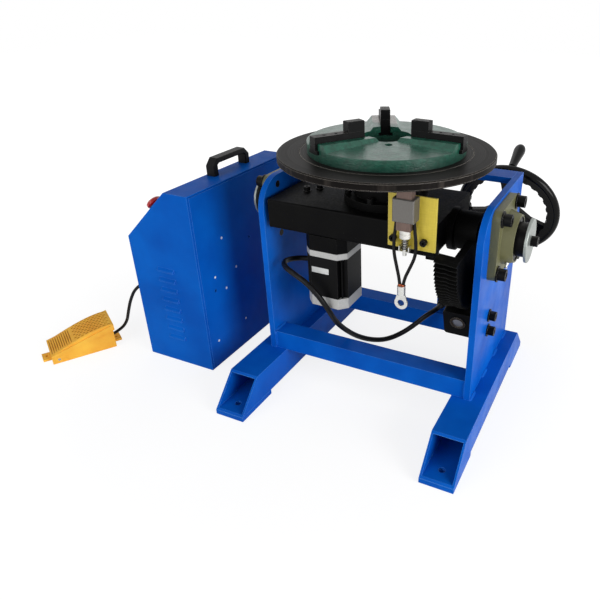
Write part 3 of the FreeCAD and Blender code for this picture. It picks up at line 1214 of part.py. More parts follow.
def cable_sockets():
    """Round multi-pin sockets low on the cabinet's outer side: pedal, motor and ground."""
    solids = []
    for y in SOCKET_Y:
        start = V(BOX_LEFT_X, y, SOCKET_Z)
        shape = rod(SOCKET_RADIUS + 4, 3, start, X_AXIS * -1)
        shape = shape.fuse(rod(SOCKET_RADIUS, SOCKET_LENGTH, start, X_AXIS * -1))
        shape = shape.fuse(rod(SOCKET_RADIUS, 14, start, X_AXIS))
        if y == SOCKET_Y[0]:
            solids.append(shape.removeSplitter())
        else:
            solids.append(shape.cut(rod(SOCKET_RADIUS - 2, SOCKET_LENGTH, start - V(3, 0, 0), X_AXIS * -1))
                          .removeSplitter())
    return solids


# ---- foot pedal ---------------------------------------------------------------------------------------
def in_pedal_frame(shape):
    """Places a piece drawn with its heel's near corner on the origin and +X towards the toe."""
    return placed(shape, V(PEDAL_HEEL_X, PEDAL_HEEL_Y, 0), FreeCAD.Rotation(Z_AXIS, PEDAL_YAW))


def pedal_side(inset, low, shrink=0.0):
    """The base's side profile between heel and toe, clear below the treadle."""
    heel = PEDAL_HEEL_HEIGHT - PEDAL_TREAD - PEDAL_TRAVEL - shrink
    toe = PEDAL_TOE_HEIGHT - PEDAL_TREAD - FREE_GAP - shrink
    return [V(inset, 0, low), V(PEDAL_LENGTH - inset, 0, low), V(PEDAL_LENGTH - inset, 0, toe),
            V(inset, 0, heel)]


def pedal_base():
    """The cast base: a wedge-shaped tray with two bolt tabs and a pin through its toe."""
    travel = V(0, -PEDAL_WIDTH, 0)
    body = prism(pedal_side(0, 0), travel)
    inner = placed(prism(pedal_side(PEDAL_BASE_WALL, PEDAL_BASE_WALL, -PEDAL_HEEL_HEIGHT),
                         V(0, -PEDAL_WIDTH + 2 * PEDAL_BASE_WALL, 0)), V(0, -PEDAL_BASE_WALL, 0))
    tabs = []
    for x0, x1 in ((-PEDAL_TAB, 2.0), (PEDAL_LENGTH - 2.0, PEDAL_LENGTH + PEDAL_TAB)):
        tab = block(x0, x1, -PEDAL_WIDTH * 0.7, -PEDAL_WIDTH * 0.3, 0, 5)
        middle = (x0 + x1) / 2
        tabs.append(tab.cut(rod(PEDAL_TAB_HOLE_RADIUS, 5, V(middle, -PEDAL_WIDTH / 2, 0))))
    body = body.cut(inner).fuse(tabs).removeSplitter()
    pin_hole = rod(PEDAL_PIN_RADIUS, PEDAL_WIDTH, V(PEDAL_PIN_X, 0, PEDAL_PIN_Z), Y_AXIS * -1)
    entry = rod(PEDAL_CORD_RADIUS, 2 * PEDAL_BASE_WALL, V(-PEDAL_BASE_WALL / 2, -PEDAL_CORD_Y, PEDAL_CORD_Z),
                X_AXIS)
    return in_pedal_frame(body.cut([pin_hole, entry]))


def pedal_treadle():
    """The ribbed treadle: a sloping cover with skirts that hinges on the pin at the toe."""
    wall = PEDAL_TREAD
    heel, toe = PEDAL_HEEL_HEIGHT, PEDAL_TOE_HEIGHT
    out = PEDAL_GAP
    across = V(0, -PEDAL_WIDTH - 2 * out, 0)
    shell = prism([V(-out, 0, heel), V(PEDAL_LENGTH, 0, toe), V(PEDAL_LENGTH, 0, toe - wall),
                   V(-out, 0, heel - PEDAL_SKIRT)], across)
    hollow = prism([V(-FREE_GAP, 0, heel - wall), V(PEDAL_LENGTH + 1, 0, toe - wall - 0.3),
                    V(PEDAL_LENGTH + 1, 0, 0), V(-FREE_GAP, 0, 0)],
                   V(0, -PEDAL_WIDTH - 2 * FREE_GAP, 0))
    plate = placed(shell, V(0, out, 0)).cut(placed(hollow, V(0, FREE_GAP, 0)))
    slope = math.degrees(math.atan2(heel - toe, PEDAL_LENGTH + out))
    run = V(PEDAL_LENGTH + out, 0, toe - heel).normalize()
    ribs = []
    for k in range(PEDAL_RIBS):
        rib = block(-1.2, 1.2, -PEDAL_WIDTH + 4, -4, -0.5, 1.2)
        rib.rotate(ORIGIN, Y_AXIS, slope)
        along = PEDAL_LENGTH * (PEDAL_RIB_START + PEDAL_RIB_PITCH * k)
        ribs.append(placed(rib, V(-out, 0, heel) + run * along))
    ears = []
    half = PEDAL_EAR_WIDTH / 2
    low = PEDAL_PIN_Z - PEDAL_PIN_RADIUS - 2
    near, far = PEDAL_PIN_X - half, PEDAL_PIN_X + half

    def mid_wall(x):
        return toe - wall / 2 + (PEDAL_LENGTH - x) * (heel - toe) / (PEDAL_LENGTH + out)
    for y in (-PEDAL_BASE_WALL - 1, -PEDAL_WIDTH + PEDAL_BASE_WALL + 1 + PEDAL_EAR):
        ears.append(prism([V(near, y, low), V(far, y, low), V(far, y, mid_wall(far)),
                           V(near, y, mid_wall(near))],
                          V(0, -PEDAL_EAR, 0)))
    bore = rod(PEDAL_PIN_RADIUS + RUNNING_FIT, PEDAL_WIDTH + 10, V(PEDAL_PIN_X, 5, PEDAL_PIN_Z), Y_AXIS * -1)
    return in_pedal_frame(plate.fuse(ears).cut(bore).fuse(ribs))


def pedal_pin():
    return in_pedal_frame(rod(PEDAL_PIN_RADIUS, PEDAL_WIDTH, V(PEDAL_PIN_X, 0, PEDAL_PIN_Z), Y_AXIS * -1))


# ---- cords --------------------------------------------------------------------------------------------
def cord_path(points):
    """Straight runs joined by tangent arcs, each arc as large as its two runs allow."""
    edges = []
    here = points[0]
    radii = []
    for before, corner, after in zip(points, points[1:], points[2:]):
        back = (before - corner)
        ahead = (after - corner)
        half_turn = (math.pi - back.getAngle(ahead)) / 2
        reach = 0.45 * min(back.Length, ahead.Length)
        radii.append(reach / math.tan(half_turn))
        back.normalize()
        ahead.normalize()
        start = corner + back * reach
        end = corner + ahead * reach
        bisector = (back + ahead).normalize()
        sagitta = radii[-1] / math.cos(half_turn) - radii[-1]
        middle = corner + bisector * sagitta
        edges.append(Part.LineSegment(here, start).toShape())
        edges.append(Part.Arc(start, middle, end).toShape())
        here = end
    edges.append(Part.LineSegment(here, points[-1]).toShape())
    return Part.Wire(edges), radii


def cord(points, radius, name):
    path, radii = cord_path(points)
    start = points[0]
    section = Part.Wire(Part.makeCircle(radius, start, points[1] - start))
    tube = path.makePipeShell([section], True, False)
    expected = math.pi * radius * radius * path.Length
    print(name, "length", round(path.Length, 1), "radii", [round(one) for one in radii],
          "volume ratio", round(tube.Volume / expected, 4))
    return tube


def socket_bracket():
    """A small angle on the rear cross tube that carries the motor cable's socket."""
    half = CABLE_BRACKET_WIDTH / 2
    low = FOOT_TOP_Z + CROSS_TUBE
    high = CABLE_SOCKET_Z + CABLE_SOCKET_RADIUS + 6
    x0, x1 = CABLE_SOCKET_X - half, CABLE_SOCKET_X + half
    upright = block(x0, x1, REAR_TUBE_Y, REAR_TUBE_Y + CABLE_BRACKET_SHEET, low, high)
    base = block(x0, x1, REAR_TUBE_Y - half, REAR_TUBE_Y + CABLE_BRACKET_SHEET, low,
                 low + CABLE_BRACKET_SHEET)
    hole = rod(CABLE_SOCKET_RADIUS, 10, V(CABLE_SOCKET_X, REAR_TUBE_Y - 3, CABLE_SOCKET_Z), Y_AXIS)
    return upright.fuse(base).removeSplitter().cut(hole)


def cable_socket():
    """The round connector in its bracket, with a shoulder against the sheet."""
    front = REAR_TUBE_Y - CABLE_SOCKET_LENGTH
    place = V(CABLE_SOCKET_X, front, CABLE_SOCKET_Z)
    shape = rod(CABLE_SOCKET_RADIUS, CABLE_SOCKET_LENGTH + 10, place, Y_AXIS)
    shape = shape.fuse(rod(CABLE_SOCKET_RADIUS + 3, 4, V(CABLE_SOCKET_X, REAR_TUBE_Y - 4, CABLE_SOCKET_Z),
                           Y_AXIS))
    return shape.removeSplitter()


# ---- cord routes: chosen by hand -----------------------------------------------------------------------
MOTOR_CABLE_START = V(MOTOR_X - MOTOR_SIZE / 2 - MOTOR_GLAND_LENGTH, MOTOR_GLAND_Y, MOTOR_CABLE_Z)
MOTOR_CABLE_END = V(CABLE_SOCKET_X, REAR_TUBE_Y - CABLE_SOCKET_LENGTH, CABLE_SOCKET_Z)
MOTOR_CABLE_ROUTE = [
    MOTOR_CABLE_START,
    MOTOR_CABLE_START + V(-27, 0, 0),
    V(-184, -35, 265),
    V(-188, -62, 270),
    V(-172, -86, 271),
    V(-144, -99, 268),
    V(-114, -102, 256),
    V(-88, -101, 232),
    V(-73, -92, 200),
    V(-70, -72, 164),
    V(-64, -44, 130),
    V(-51, -13, 98),
    V(-31, 18, 76),
    V(-8, 46, 67),
    V(18, 71, 76),
    V(44, 84, 99),
    V(62, 91, 119),
    V(76, 102, 129),
    V(83, 117, 132),
    MOTOR_CABLE_END,
]
PEDAL_CORD_END = V(BOX_LEFT_X - SOCKET_LENGTH, SOCKET_Y[0], SOCKET_Z)
PEDAL_CORD_MIDDLE = [
    V(-628, -125, 27),
    V(-607, -120, 52),
    V(-590, -124, 86),
    V(-574, -124, 122),
    V(-558, -117, 152),
]


def lead_route(side):
    """A brush lead: down from the holder, bowed round the spring and into the lug's barrel."""
    top = brush_place(side * (BRUSH_NECK_WIDTH / 2 + LEAD_RADIUS + FREE_GAP), 0, BRUSH_BOTTOM_Z)
    shift = LUG_X - BRUSH_X
    barrel_end = LUG_Z + LUG_NECK + LUG_BARREL_LENGTH
    lug_top = brush_place(shift + side * (LEAD_RADIUS + FREE_GAP / 2), 0, barrel_end)
    return [top, top + V(side * 1, 0, -14), top + V(side * 4, 0, -36), top + V(side * 4, 0, -62),
            lug_top + V(side * 9 - shift / 2, 0, 36), lug_top + V(side * 1.5, 0, 13), lug_top]


def main():
    os.makedirs("parts", exist_ok=True)
    sides = (-1, 1)

    save("foot_tubes", [foot_tube(side) for side in sides])
    save("foot_pads", [foot_pad(side, end) for side in sides for end in sides])
    save("front_cross_tube", cross_tube(FRONT_TUBE_Y))
    save("rear_cross_tube", cross_tube(REAR_TUBE_Y))
    save("side_plate_left", side_plate(-1))
    save("side_plate_right", side_plate(1))
    save("top_bar", top_bar())
    save("bearing_housings", [piece(side) for side in sides for piece in (bearing_housing, outer_race)])
    save("frame_screws", [solid for side in sides for solid in bearing_screws(side)] + worm_screws())
    save("grease_nipples", [grease_nipple(side) for side in sides])
    save("worm_housing", worm_housing())
    save("worm_bushes", worm_bushes())
    save("cable_socket_bracket", socket_bracket())

    save("beam", beam())
    save("trunnions", [trunnion(side) for side in sides])
    save("bearing_inner_rings", [piece(side) for side in sides for piece in (inner_ring, locking_collar)])
    save("shaft_discs", [shaft_disc(side) for side in sides])
    save("sector_gear", sector_gear())
    save("spindle_housing", spindle_housing())
    save("tilt_head_screws", [solid for side in sides for solid in shaft_screw(side)] + housing_screws()
         + beam_top_screws() + brush_plate_screws() + motor_screws())
    save("motor_adapter", motor_piece(BEAM_BOTTOM_Z, MOTOR_ADAPTER_LENGTH))
    save("motor_front_cap", motor_piece(MOTOR_CAP_Z, MOTOR_CAP_LENGTH))
    save("motor_body", motor_piece(MOTOR_STACK_TOP_Z, MOTOR_STACK_LENGTH, flute=MOTOR_FLUTE))
    save("motor_rear_cap", motor_piece(MOTOR_STACK_Z, MOTOR_REAR_LENGTH))
    save("motor_cable_gland", motor_gland())
    save("motor_cable", cord(MOTOR_CABLE_ROUTE, MOTOR_CABLE_RADIUS, "motor_cable"))
    save("brush_plate", brush_plate())
    save("brush_holder", brush_block())
    save("ground_brush", brush())
    save("brush_nut", brush_nut())
    save("brush_spring", brush_spring())
    save("brush_clip", [brush_clip(), brush_rod()])
    save("brush_lead_left", cord(lead_route(-1), LEAD_RADIUS, "brush_lead_left"))
    save("brush_lead_right", cord(lead_route(1), LEAD_RADIUS, "brush_lead_right"))
    save("ring_lug", ring_lug())

    save("cabinet", cabinet())
    save("cabinet_cover", box_cover())
    save("carrying_handle", carrying_handle())
    save("panel_bushes", [estop_base(), panel_bush(KNOB_Y), panel_bush(SWITCH_Y)])
    save("cable_sockets", cable_sockets() + [cable_socket()])
    save("emergency_stop", estop_button())
    save("speed_knob", speed_knob())
    save("direction_switch", direction_switch())

    save("pedal_base", pedal_base())
    save("pedal_treadle", pedal_treadle())
    save("pedal_pin", pedal_pin())
    pedal_start = in_pedal_frame(Part.Vertex(PEDAL_BASE_WALL, -PEDAL_CORD_Y, PEDAL_CORD_Z)).Point
    pedal_route = [pedal_start] + PEDAL_CORD_MIDDLE + [PEDAL_CORD_END]
    save("pedal_cord", cord(pedal_route, PEDAL_CORD_RADIUS, "pedal_cord"))

    save("turntable", turntable())
    save("spindle", spindle())
    save("chuck_body", chuck_body())
    save("chuck_screws", chuck_screws())
    for number, direction in enumerate(chuck_directions(), 1):
        save("chuck_jaw_%d" % number, jaw(direction))

    save("worm_shaft", worm_shaft())
    save("handwheel", handwheel())
    save("handwheel_fasteners", [handwheel_nut(), grip_pin()])
    save("handwheel_grip", grip())


main()
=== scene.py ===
"""Looks for the welding positioner: cords, painted and machined finishes, weld beads, light and camera."""
import math

import bmesh
import bpy
from mathutils import Matrix, Vector


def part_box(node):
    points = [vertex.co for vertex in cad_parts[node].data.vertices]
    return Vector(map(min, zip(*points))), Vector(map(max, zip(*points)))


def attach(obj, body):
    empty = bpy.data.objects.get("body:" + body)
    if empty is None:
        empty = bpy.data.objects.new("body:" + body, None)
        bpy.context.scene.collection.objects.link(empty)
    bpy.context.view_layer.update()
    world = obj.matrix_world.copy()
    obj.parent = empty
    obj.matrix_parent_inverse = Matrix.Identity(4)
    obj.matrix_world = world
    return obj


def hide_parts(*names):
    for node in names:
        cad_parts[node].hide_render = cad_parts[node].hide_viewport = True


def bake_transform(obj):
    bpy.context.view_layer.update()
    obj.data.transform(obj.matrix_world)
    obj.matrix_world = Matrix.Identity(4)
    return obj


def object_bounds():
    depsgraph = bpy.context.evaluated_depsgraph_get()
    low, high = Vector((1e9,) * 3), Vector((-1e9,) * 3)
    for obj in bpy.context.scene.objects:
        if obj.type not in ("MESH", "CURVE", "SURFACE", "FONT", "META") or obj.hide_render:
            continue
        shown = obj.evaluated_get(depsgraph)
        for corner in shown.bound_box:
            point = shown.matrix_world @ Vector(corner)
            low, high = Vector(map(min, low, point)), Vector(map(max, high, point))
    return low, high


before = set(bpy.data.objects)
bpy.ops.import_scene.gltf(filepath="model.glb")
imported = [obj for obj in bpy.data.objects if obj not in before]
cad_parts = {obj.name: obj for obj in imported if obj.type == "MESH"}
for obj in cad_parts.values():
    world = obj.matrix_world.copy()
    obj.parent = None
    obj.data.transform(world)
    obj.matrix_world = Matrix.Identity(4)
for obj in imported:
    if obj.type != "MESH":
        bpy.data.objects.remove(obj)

CAD_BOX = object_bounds()


# ---- camera ------------------------------------------------------------------------------------------
CAMERA_PLACE = Vector((0.4352, -0.9631, 0.7853))
CAMERA_YAW = math.radians(24.51)
CAMERA_PITCH = math.radians(-27.86)
CAMERA_ROLL = math.radians(0.21)
CAMERA_LENS = 35.55
CAMERA_SHIFT = (-0.1333, -0.0248)


def make_camera():
    """The camera at the photograph's viewing angle."""
    data = bpy.data.cameras.new("camera")
    data.lens = CAMERA_LENS
    data.sensor_width = 36
    data.shift_x, data.shift_y = CAMERA_SHIFT
    data.clip_start, data.clip_end = 0.01, 50
    camera = bpy.data.objects.new("camera", data)
    turn = Matrix.Rotation(CAMERA_YAW, 4, "Z") @ Matrix.Rotation(math.pi / 2 + CAMERA_PITCH, 4, "X")
    camera.matrix_world = Matrix.Translation(CAMERA_PLACE) @ turn @ Matrix.Rotation(CAMERA_ROLL, 4, "Z")
    bpy.context.scene.collection.objects.link(camera)
    bpy.context.scene.camera = camera


# ---- cords: the routes of the CAD tubes, in metres ---------------------------------------------------
MOTOR_CABLE = [
    (-0.137, -0.016, 0.262), (-0.164, -0.016, 0.262), (-0.184, -0.035, 0.265), (-0.188, -0.062, 0.270),
    (-0.172, -0.086, 0.271), (-0.144, -0.099, 0.268), (-0.114, -0.102, 0.256), (-0.088, -0.101, 0.232),
    (-0.073, -0.092, 0.200), (-0.070, -0.072, 0.164), (-0.064, -0.044, 0.130), (-0.051, -0.013, 0.098),
    (-0.031, 0.018, 0.076), (-0.008, 0.046, 0.067), (0.018, 0.071, 0.076), (0.044, 0.084, 0.099),
    (0.062, 0.091, 0.119), (0.076, 0.102, 0.129), (0.083, 0.117, 0.132), (0.084, 0.133, 0.132),
]
PEDAL_CORD = [
    (-0.64016, -0.14496, 0.020), (-0.628, -0.125, 0.027), (-0.607, -0.120, 0.052), (-0.590, -0.124, 0.086),
    (-0.574, -0.124, 0.122), (-0.558, -0.117, 0.152), (-0.538, -0.110, 0.165),
]
LEAD_TOP = Vector((0.0885, -0.101, 0.417))
LEAD_END = Vector((0.084, -0.101, 0.293))
LEAD_OFFSET = 0.0163
LEAD_END_OFFSET = 0.00315
MOTOR_CABLE_RADIUS = 0.0055
PEDAL_CORD_RADIUS = 0.0035
LEAD_RADIUS = 0.003


def lead_route(side):
    """One brush lead, from its crimp under the holder down to the ring lug."""
    top = LEAD_TOP + Vector((side * LEAD_OFFSET, 0, 0))
    end = LEAD_END + Vector((side * LEAD_END_OFFSET, 0, 0))
    return [top, top + Vector((side * 0.001, 0, -0.014)), top + Vector((side * 0.004, 0, -0.036)),
            top + Vector((side * 0.004, 0, -0.062)), end + Vector((side * 0.009 + 0.00225, 0, 0.036)),
            end + Vector((side * 0.0015, 0, 0.013)), end]


def cord_piece(name, route, radius):
    """A round cord on one smooth spline whose control points are the route's."""
    data = bpy.data.curves.new(name, "CURVE")
    data.dimensions = "3D"
    data.bevel_depth = radius
    data.bevel_resolution = 6
    data.resolution_u = 10
    data.use_fill_caps = True
    spline = data.splines.new("NURBS")
    spline.points.add(len(route) - 1)
    for target, place in zip(spline.points, route):
        target.co = (*place, 1)
    spline.order_u = 3
    spline.use_endpoint_u = True
    piece = bpy.data.objects.new(name, data)
    bpy.context.scene.collection.objects.link(piece)
    return piece


def as_mesh(curve):
    """The curve as Blender tessellates it."""
    graph = bpy.context.evaluated_depsgraph_get()
    return bpy.data.meshes.new_from_object(curve.evaluated_get(graph))


def cord_tube(name, route, radius):
    """The same cord as a mesh tube, and the line that it follows."""
    curve = cord_piece(name + "_line", route, 0)
    path = [vertex.co.copy() for vertex in as_mesh(curve).vertices]
    curve.data.bevel_depth = radius
    tube = as_mesh(curve)
    for face in tube.polygons:
        face.use_smooth = True
    bpy.data.objects.remove(curve)
    piece = bpy.data.objects.new(name, tube)
    bpy.context.scene.collection.objects.link(piece)
    return piece, path


def make_cords(rubber, lead_rubber):
    cable, path = cord_tube("motor_cable_smooth", MOTOR_CABLE, MOTOR_CABLE_RADIUS)
    cable.data.materials.append(rubber)
    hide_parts("motor_cable")
    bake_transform(cable)

    cord = cord_piece("pedal_cord_smooth", PEDAL_CORD, PEDAL_CORD_RADIUS)
    cord.data.materials.append(rubber)
    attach(cord, "frame")
    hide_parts("pedal_cord")

    for side, name, length in ((-1, "left", 0.1254), (1, "right", 0.1279)):
        route = lead_route(side)
        lead = cord_piece("brush_lead_%s_smooth" % name, route, LEAD_RADIUS)
        lead.data.materials.append(lead_rubber)
        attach(lead, "tilt_head")
        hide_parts("brush_lead_" + name)


# ---- material kit ------------------------------------------------------------------------------------
NOISE_LOW, NOISE_HIGH = 0.3, 0.7    # where most of a noise pattern's values lie
BEVEL_SAMPLES = 4


def hue(code):
    """A linear colour from an sRGB hex code."""
    channels = [int(code[k:k + 2], 16) / 255 for k in (0, 2, 4)]
    return tuple(c / 12.92 if c <= 0.04045 else ((c + 0.055) / 1.055) ** 2.4 for c in channels) + (1.0,)


class Finish:
    """One material, built from patterns in the object's own coordinates."""

    def __init__(self, name, **constants):
        self.material = bpy.data.materials.new(name)
        self.material.use_nodes = True
        self.tree = self.material.node_tree
        self.shader = self.tree.nodes["Principled BSDF"]
        for key, value in constants.items():
            self.shader.inputs[key.replace("_", " ")].default_value = value
        self.place = self.add("TexCoord").outputs["Object"]

    def add(self, kind, inputs=None, **settings):
        node = self.tree.nodes.new("ShaderNode" + kind)
        for key, value in settings.items():
            setattr(node, key, value)
        for key, value in (inputs or {}).items():
            self.feed(node.inputs[key], value)
        return node

    def feed(self, socket, value):
        if isinstance(value, bpy.types.NodeSocket):
            self.tree.links.new(value, socket)
        else:
            socket.default_value = value

    def scaled(self, factors, centre=(0, 0, 0)):
        shifted = self.add("VectorMath", {0: self.place, 1: centre}, operation="SUBTRACT").outputs[0]
        return self.add("VectorMath", {0: shifted, 1: factors}, operation="MULTIPLY").outputs[0]

    def noise(self, scale, detail=3.0, where=None):
        return self.add("TexNoise", {"Vector": where or self.place, "Scale": scale,
                                     "Detail": detail}).outputs["Fac"]

    def cells(self, scale, feature="F1"):
        return self.add("TexVoronoi", {"Vector": self.place, "Scale": scale},
                        feature=feature).outputs["Distance"]

    def math(self, operation, a, b):
        return self.add("Math", {0: a, 1: b}, operation=operation).outputs[0]

    def span(self, value, low, high, start=0.0, end=1.0):
        """Maps low..high onto start..end and clamps there."""
        return self.add("MapRange", {"Value": value, "From Min": low, "From Max": high, "To Min": start,
                                     "To Max": end}).outputs[0]

    def over(self, noise, start, end):
        """Spreads start..end over the middle of a noise pattern."""
        return self.span(noise, NOISE_LOW, NOISE_HIGH, start, end)

    def mix(self, share, first, second):
        node = self.add("Mix", data_type="RGBA")
        for socket, value in ((node.inputs[0], share), (node.inputs[6], first), (node.inputs[7], second)):
            self.feed(socket, value)
        return node.outputs[2]

    def layer(self, body, mask, strength, code):
        """The body's colour with another laid over it where the mask is one."""
        return self.mix(self.math("MULTIPLY", mask, strength), body, hue(code))

    def edges(self, width):
        """One along sharp edges, nought on the faces between them."""
        soft = self.add("Bevel", {"Radius": width}, samples=BEVEL_SAMPLES).outputs[0]
        hard = self.add("NewGeometry").outputs["Normal"]
        turned = self.add("VectorMath", {0: soft, 1: hard}, operation="DOT_PRODUCT").outputs["Value"]
        return self.span(self.math("SUBTRACT", 1.0, turned), 0.02, 0.25)

    def upward(self):
        """The z of the surface normal: one on level faces that look up."""
        normal = self.add("NewGeometry").outputs["Normal"]
        return self.add("SeparateXYZ", {0: normal}).outputs["Z"]

    def dust(self, least_up, patches, low, high):
        """Dust in patches, on faces whose normal has a z above least_up."""
        return self.math("MULTIPLY", self.span(self.upward(), least_up, 1.0), self.span(patches, low, high))

    def axis(self, name):
        return self.add("SeparateXYZ", {0: self.place}).outputs[name]

    def from_line(self, centre, along):
        """Distance from the line through centre along one of the axes."""
        keep = [0.0 if axis == along else 1.0 for axis in "XYZ"]
        return self.add("VectorMath", {0: self.scaled(keep, centre)}, operation="LENGTH").outputs["Value"]

    def finish(self, colour, roughness, height, depth, round_edges=0.0):
        """Links the patterns to the shader: colour, gloss, and a bump over softened edges."""
        self.feed(self.shader.inputs["Base Color"], colour)
        self.feed(self.shader.inputs["Roughness"], roughness)
        relief = {"Height": height, "Distance": depth}
        if round_edges:
            relief["Normal"] = self.add("Bevel", {"Radius": round_edges}, samples=BEVEL_SAMPLES).outputs[0]
        self.feed(self.shader.inputs["Normal"], self.add("Bump", relief).outputs[0])
        return self.material


def seen_directly(tree):
    """One for camera, glossy and transmission rays, nought for those that light the object."""
    path = tree.nodes.new("ShaderNodeLightPath")
    share = path.outputs["Is Camera Ray"]
    for ray in ("Is Glossy Ray", "Is Transmission Ray"):
        either = tree.nodes.new("ShaderNodeMath")
        either.operation = "MAXIMUM"
        tree.links.new(share, either.inputs[0])
        tree.links.new(path.outputs[ray], either.inputs[1])
        share = either.outputs[0]
    return share


# ---- finishes ----------------------------------------------------------------------------------------
TABLE_CENTRE = (0.0, 0.019, 0.0)    # a point on the table's spin axis
TILT_AXIS = (0.0, 0.019, 0.368)
LATHE_RINGS = 900.0
RIB_FRONT = 0.055                   # the pale rear rib top, bare steel and painted highlight, begins here behind the table's centre
RACE_RADIUS = 0.0400
FLOOR_GLOW = 1.15
FLOOR_GLOW_SHARE = 0.72             # under the object, up to all of it away from it
FLOOR_NEAR, FLOOR_FAR = 0.5, 1.6
FLOOR_MIDDLE = (-0.15, 0, 0)


def blue_paint(name, deep, bright, gloss):
    """Sprayed enamel: faint orange peel, cloudy depth, and a lighter blue painted along the edges as a
    highlight.
    """
    paint = Finish(name, Specular_IOR_Level=0.035)
    clouds = paint.noise(9, 4)
    peel = paint.noise(520, 2)
    body = paint.mix(paint.span(clouds, 0.35, 0.65), hue(deep), hue(bright))
    scuffs = paint.span(paint.noise(60, 6, paint.scaled((1, 0.15, 1))), 0.68, 0.76)
    body = paint.layer(body, scuffs, 0.25, "2468D0")
    # painted highlight: a lighter blue laid along the edges, standing in for light catching them
    body = paint.layer(body, paint.edges(0.0016), 0.7, "5C9BEE")
    rough = paint.over(paint.noise(30, 3), gloss, gloss + 0.12)
    return paint.finish(body, rough, peel, 0.00012, round_edges=0.0008)


def black_paint(name, shade="060607", gloss=0.42):
    """Satin black enamel over mill scale, greyer at the edges, with dust on what faces up."""
    paint = Finish(name, Specular_IOR_Level=0.05)
    grain = paint.noise(240, 4)
    body = paint.mix(paint.span(paint.noise(14, 5), 0.4, 0.7), hue(shade), hue("0C0C0B"))
    body = paint.layer(body, paint.edges(0.001), 0.5, "4A4A48")
    body = paint.layer(body, paint.dust(0.6, paint.noise(35, 6), 0.52, 0.8), 0.12, "55524C")
    specks = paint.span(paint.cells(95), 0.0, 0.05, 1.0, 0.0)
    body = paint.layer(body, specks, 0.35, "8C8A84")
    return paint.finish(body, paint.over(grain, gloss, gloss + 0.15), grain, 0.0001, round_edges=0.0008)


def turned_black_steel():
    """The blackened faceplate: fine lathe rings, a rubbed rim and a dull brown bloom."""
    steel = Finish("turned_black_steel", Specular_IOR_Level=0.025, Metallic=0.2)
    radius = steel.from_line(TABLE_CENTRE, "Z")
    across = steel.math("MULTIPLY", radius, LATHE_RINGS)
    along = steel.math("MULTIPLY", steel.axis("Z"), LATHE_RINGS)
    rings = steel.noise(1.0, 3, steel.add("CombineXYZ", {0: across, 1: along}).outputs[0])
    blooms = steel.noise(16, 5)
    body = steel.mix(steel.span(blooms, 0.35, 0.7), hue("0B0A0A"), hue("161413"))
    body = steel.layer(body, rings, 0.22, "35312E")
    body = steel.layer(body, steel.edges(0.002), 0.9, "AAA49C")
    streaks = steel.span(steel.noise(1.0, 4, steel.scaled((40, 40, 6))), 0.55, 0.75)
    side = steel.span(steel.upward(), 0.2, 0.7, 1.0, 0.0)
    body = steel.layer(body, steel.math("MULTIPLY", streaks, side), 0.4, "5C554F")
    return steel.finish(body, steel.over(rings, 0.38, 0.55), rings, 0.00008, round_edges=0.0008)


def hammer_green():
    """Hammer-finish green on the casting, darkened towards the table as painted shade, with a pale
    bare-steel colour on the top of the rear rib that is also a painted highlight.
    """
    paint = Finish("hammer_green", Coat_Weight=0.25, Coat_Roughness=0.22, Specular_IOR_Level=0.35)
    table_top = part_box("turntable")[1].z
    flat_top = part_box("chuck_body")[1].z
    dimples = paint.cells(330)
    waves = paint.noise(120, 3)
    relief = paint.math("ADD", dimples, waves)
    green = paint.mix(paint.over(waves, 0.0, 1.0), hue("0F4032"), hue("1F5C4A"))
    green = paint.layer(green, paint.span(dimples, 0.0, 0.35, 1.0, 0.0), 0.3, "0A2C24")
    # painted shade: the green darkens towards the table top, where the casting meets the table
    painted_shade_near_table = paint.span(paint.axis("Z"), table_top, table_top + 0.022, 0.7, 0.0)
    green = paint.mix(painted_shade_near_table, green, hue("0A241E"))
    # the top of the rear rib: a pale bare-steel colour that is also a painted highlight where light glares
    # on it
    rib_front = TABLE_CENTRE[1] + RIB_FRONT
    rear = paint.span(paint.axis("Y"), rib_front, rib_front + 0.020)
    bare_steel_and_highlight = paint.math("MULTIPLY", paint.span(paint.axis("Z"), flat_top - 0.0008, flat_top - 0.0003),
                      paint.math("MULTIPLY", rear, paint.span(paint.upward(), 0.9, 0.98)))
    cracks = paint.span(paint.cells(140, feature="DISTANCE_TO_EDGE"), 0.02, 0.09, 0.7, 0.0)
    steel = paint.mix(paint.noise(260, 4, paint.scaled((1, 6, 1))), hue("8E8982"), hue("B4AFA8"))
    steel = paint.mix(cracks, steel, hue("56514A"))
    colour = paint.mix(bare_steel_and_highlight, green, steel)
    rough = paint.over(paint.noise(55, 3), 0.28, 0.42)
    return paint.finish(colour, rough, relief, 0.00035, round_edges=0.0012)


def machined_steel(name, dark, light, rough, grain=(1, 1, 12), metallic=0.85):
    """Bare metal with a directional tool grain and bright edges."""
    metal = Finish(name, Metallic=metallic)
    lines = metal.noise(180, 3, metal.scaled(grain))
    patches = metal.noise(28, 4)
    body = metal.mix(lines, hue(dark), hue(light))
    body = metal.layer(body, metal.span(patches, 0.5, 0.75), 0.3, dark)
    body = metal.layer(body, metal.edges(0.0006), 0.5, "E8E8E6")
    return metal.finish(body, metal.over(lines, rough, rough + 0.15), lines, 0.00006, round_edges=0.0004)


def black_oxide():
    """Blackened screws and jaws: nearly black, dusty where they face up, worn grey on the corners."""
    metal = Finish("black_oxide", Specular_IOR_Level=0.08, Metallic=0.1)
    grain = metal.noise(420, 3)
    body = metal.mix(metal.noise(70, 4), hue("070707"), hue("121213"))
    body = metal.layer(body, metal.dust(0.7, metal.noise(90, 5), 0.4, 0.7), 0.3, "77736D")
    body = metal.layer(body, metal.edges(0.0006), 0.6, "7E7C7A")
    return metal.finish(body, metal.over(grain, 0.34, 0.5), grain, 0.00005, round_edges=0.0004)


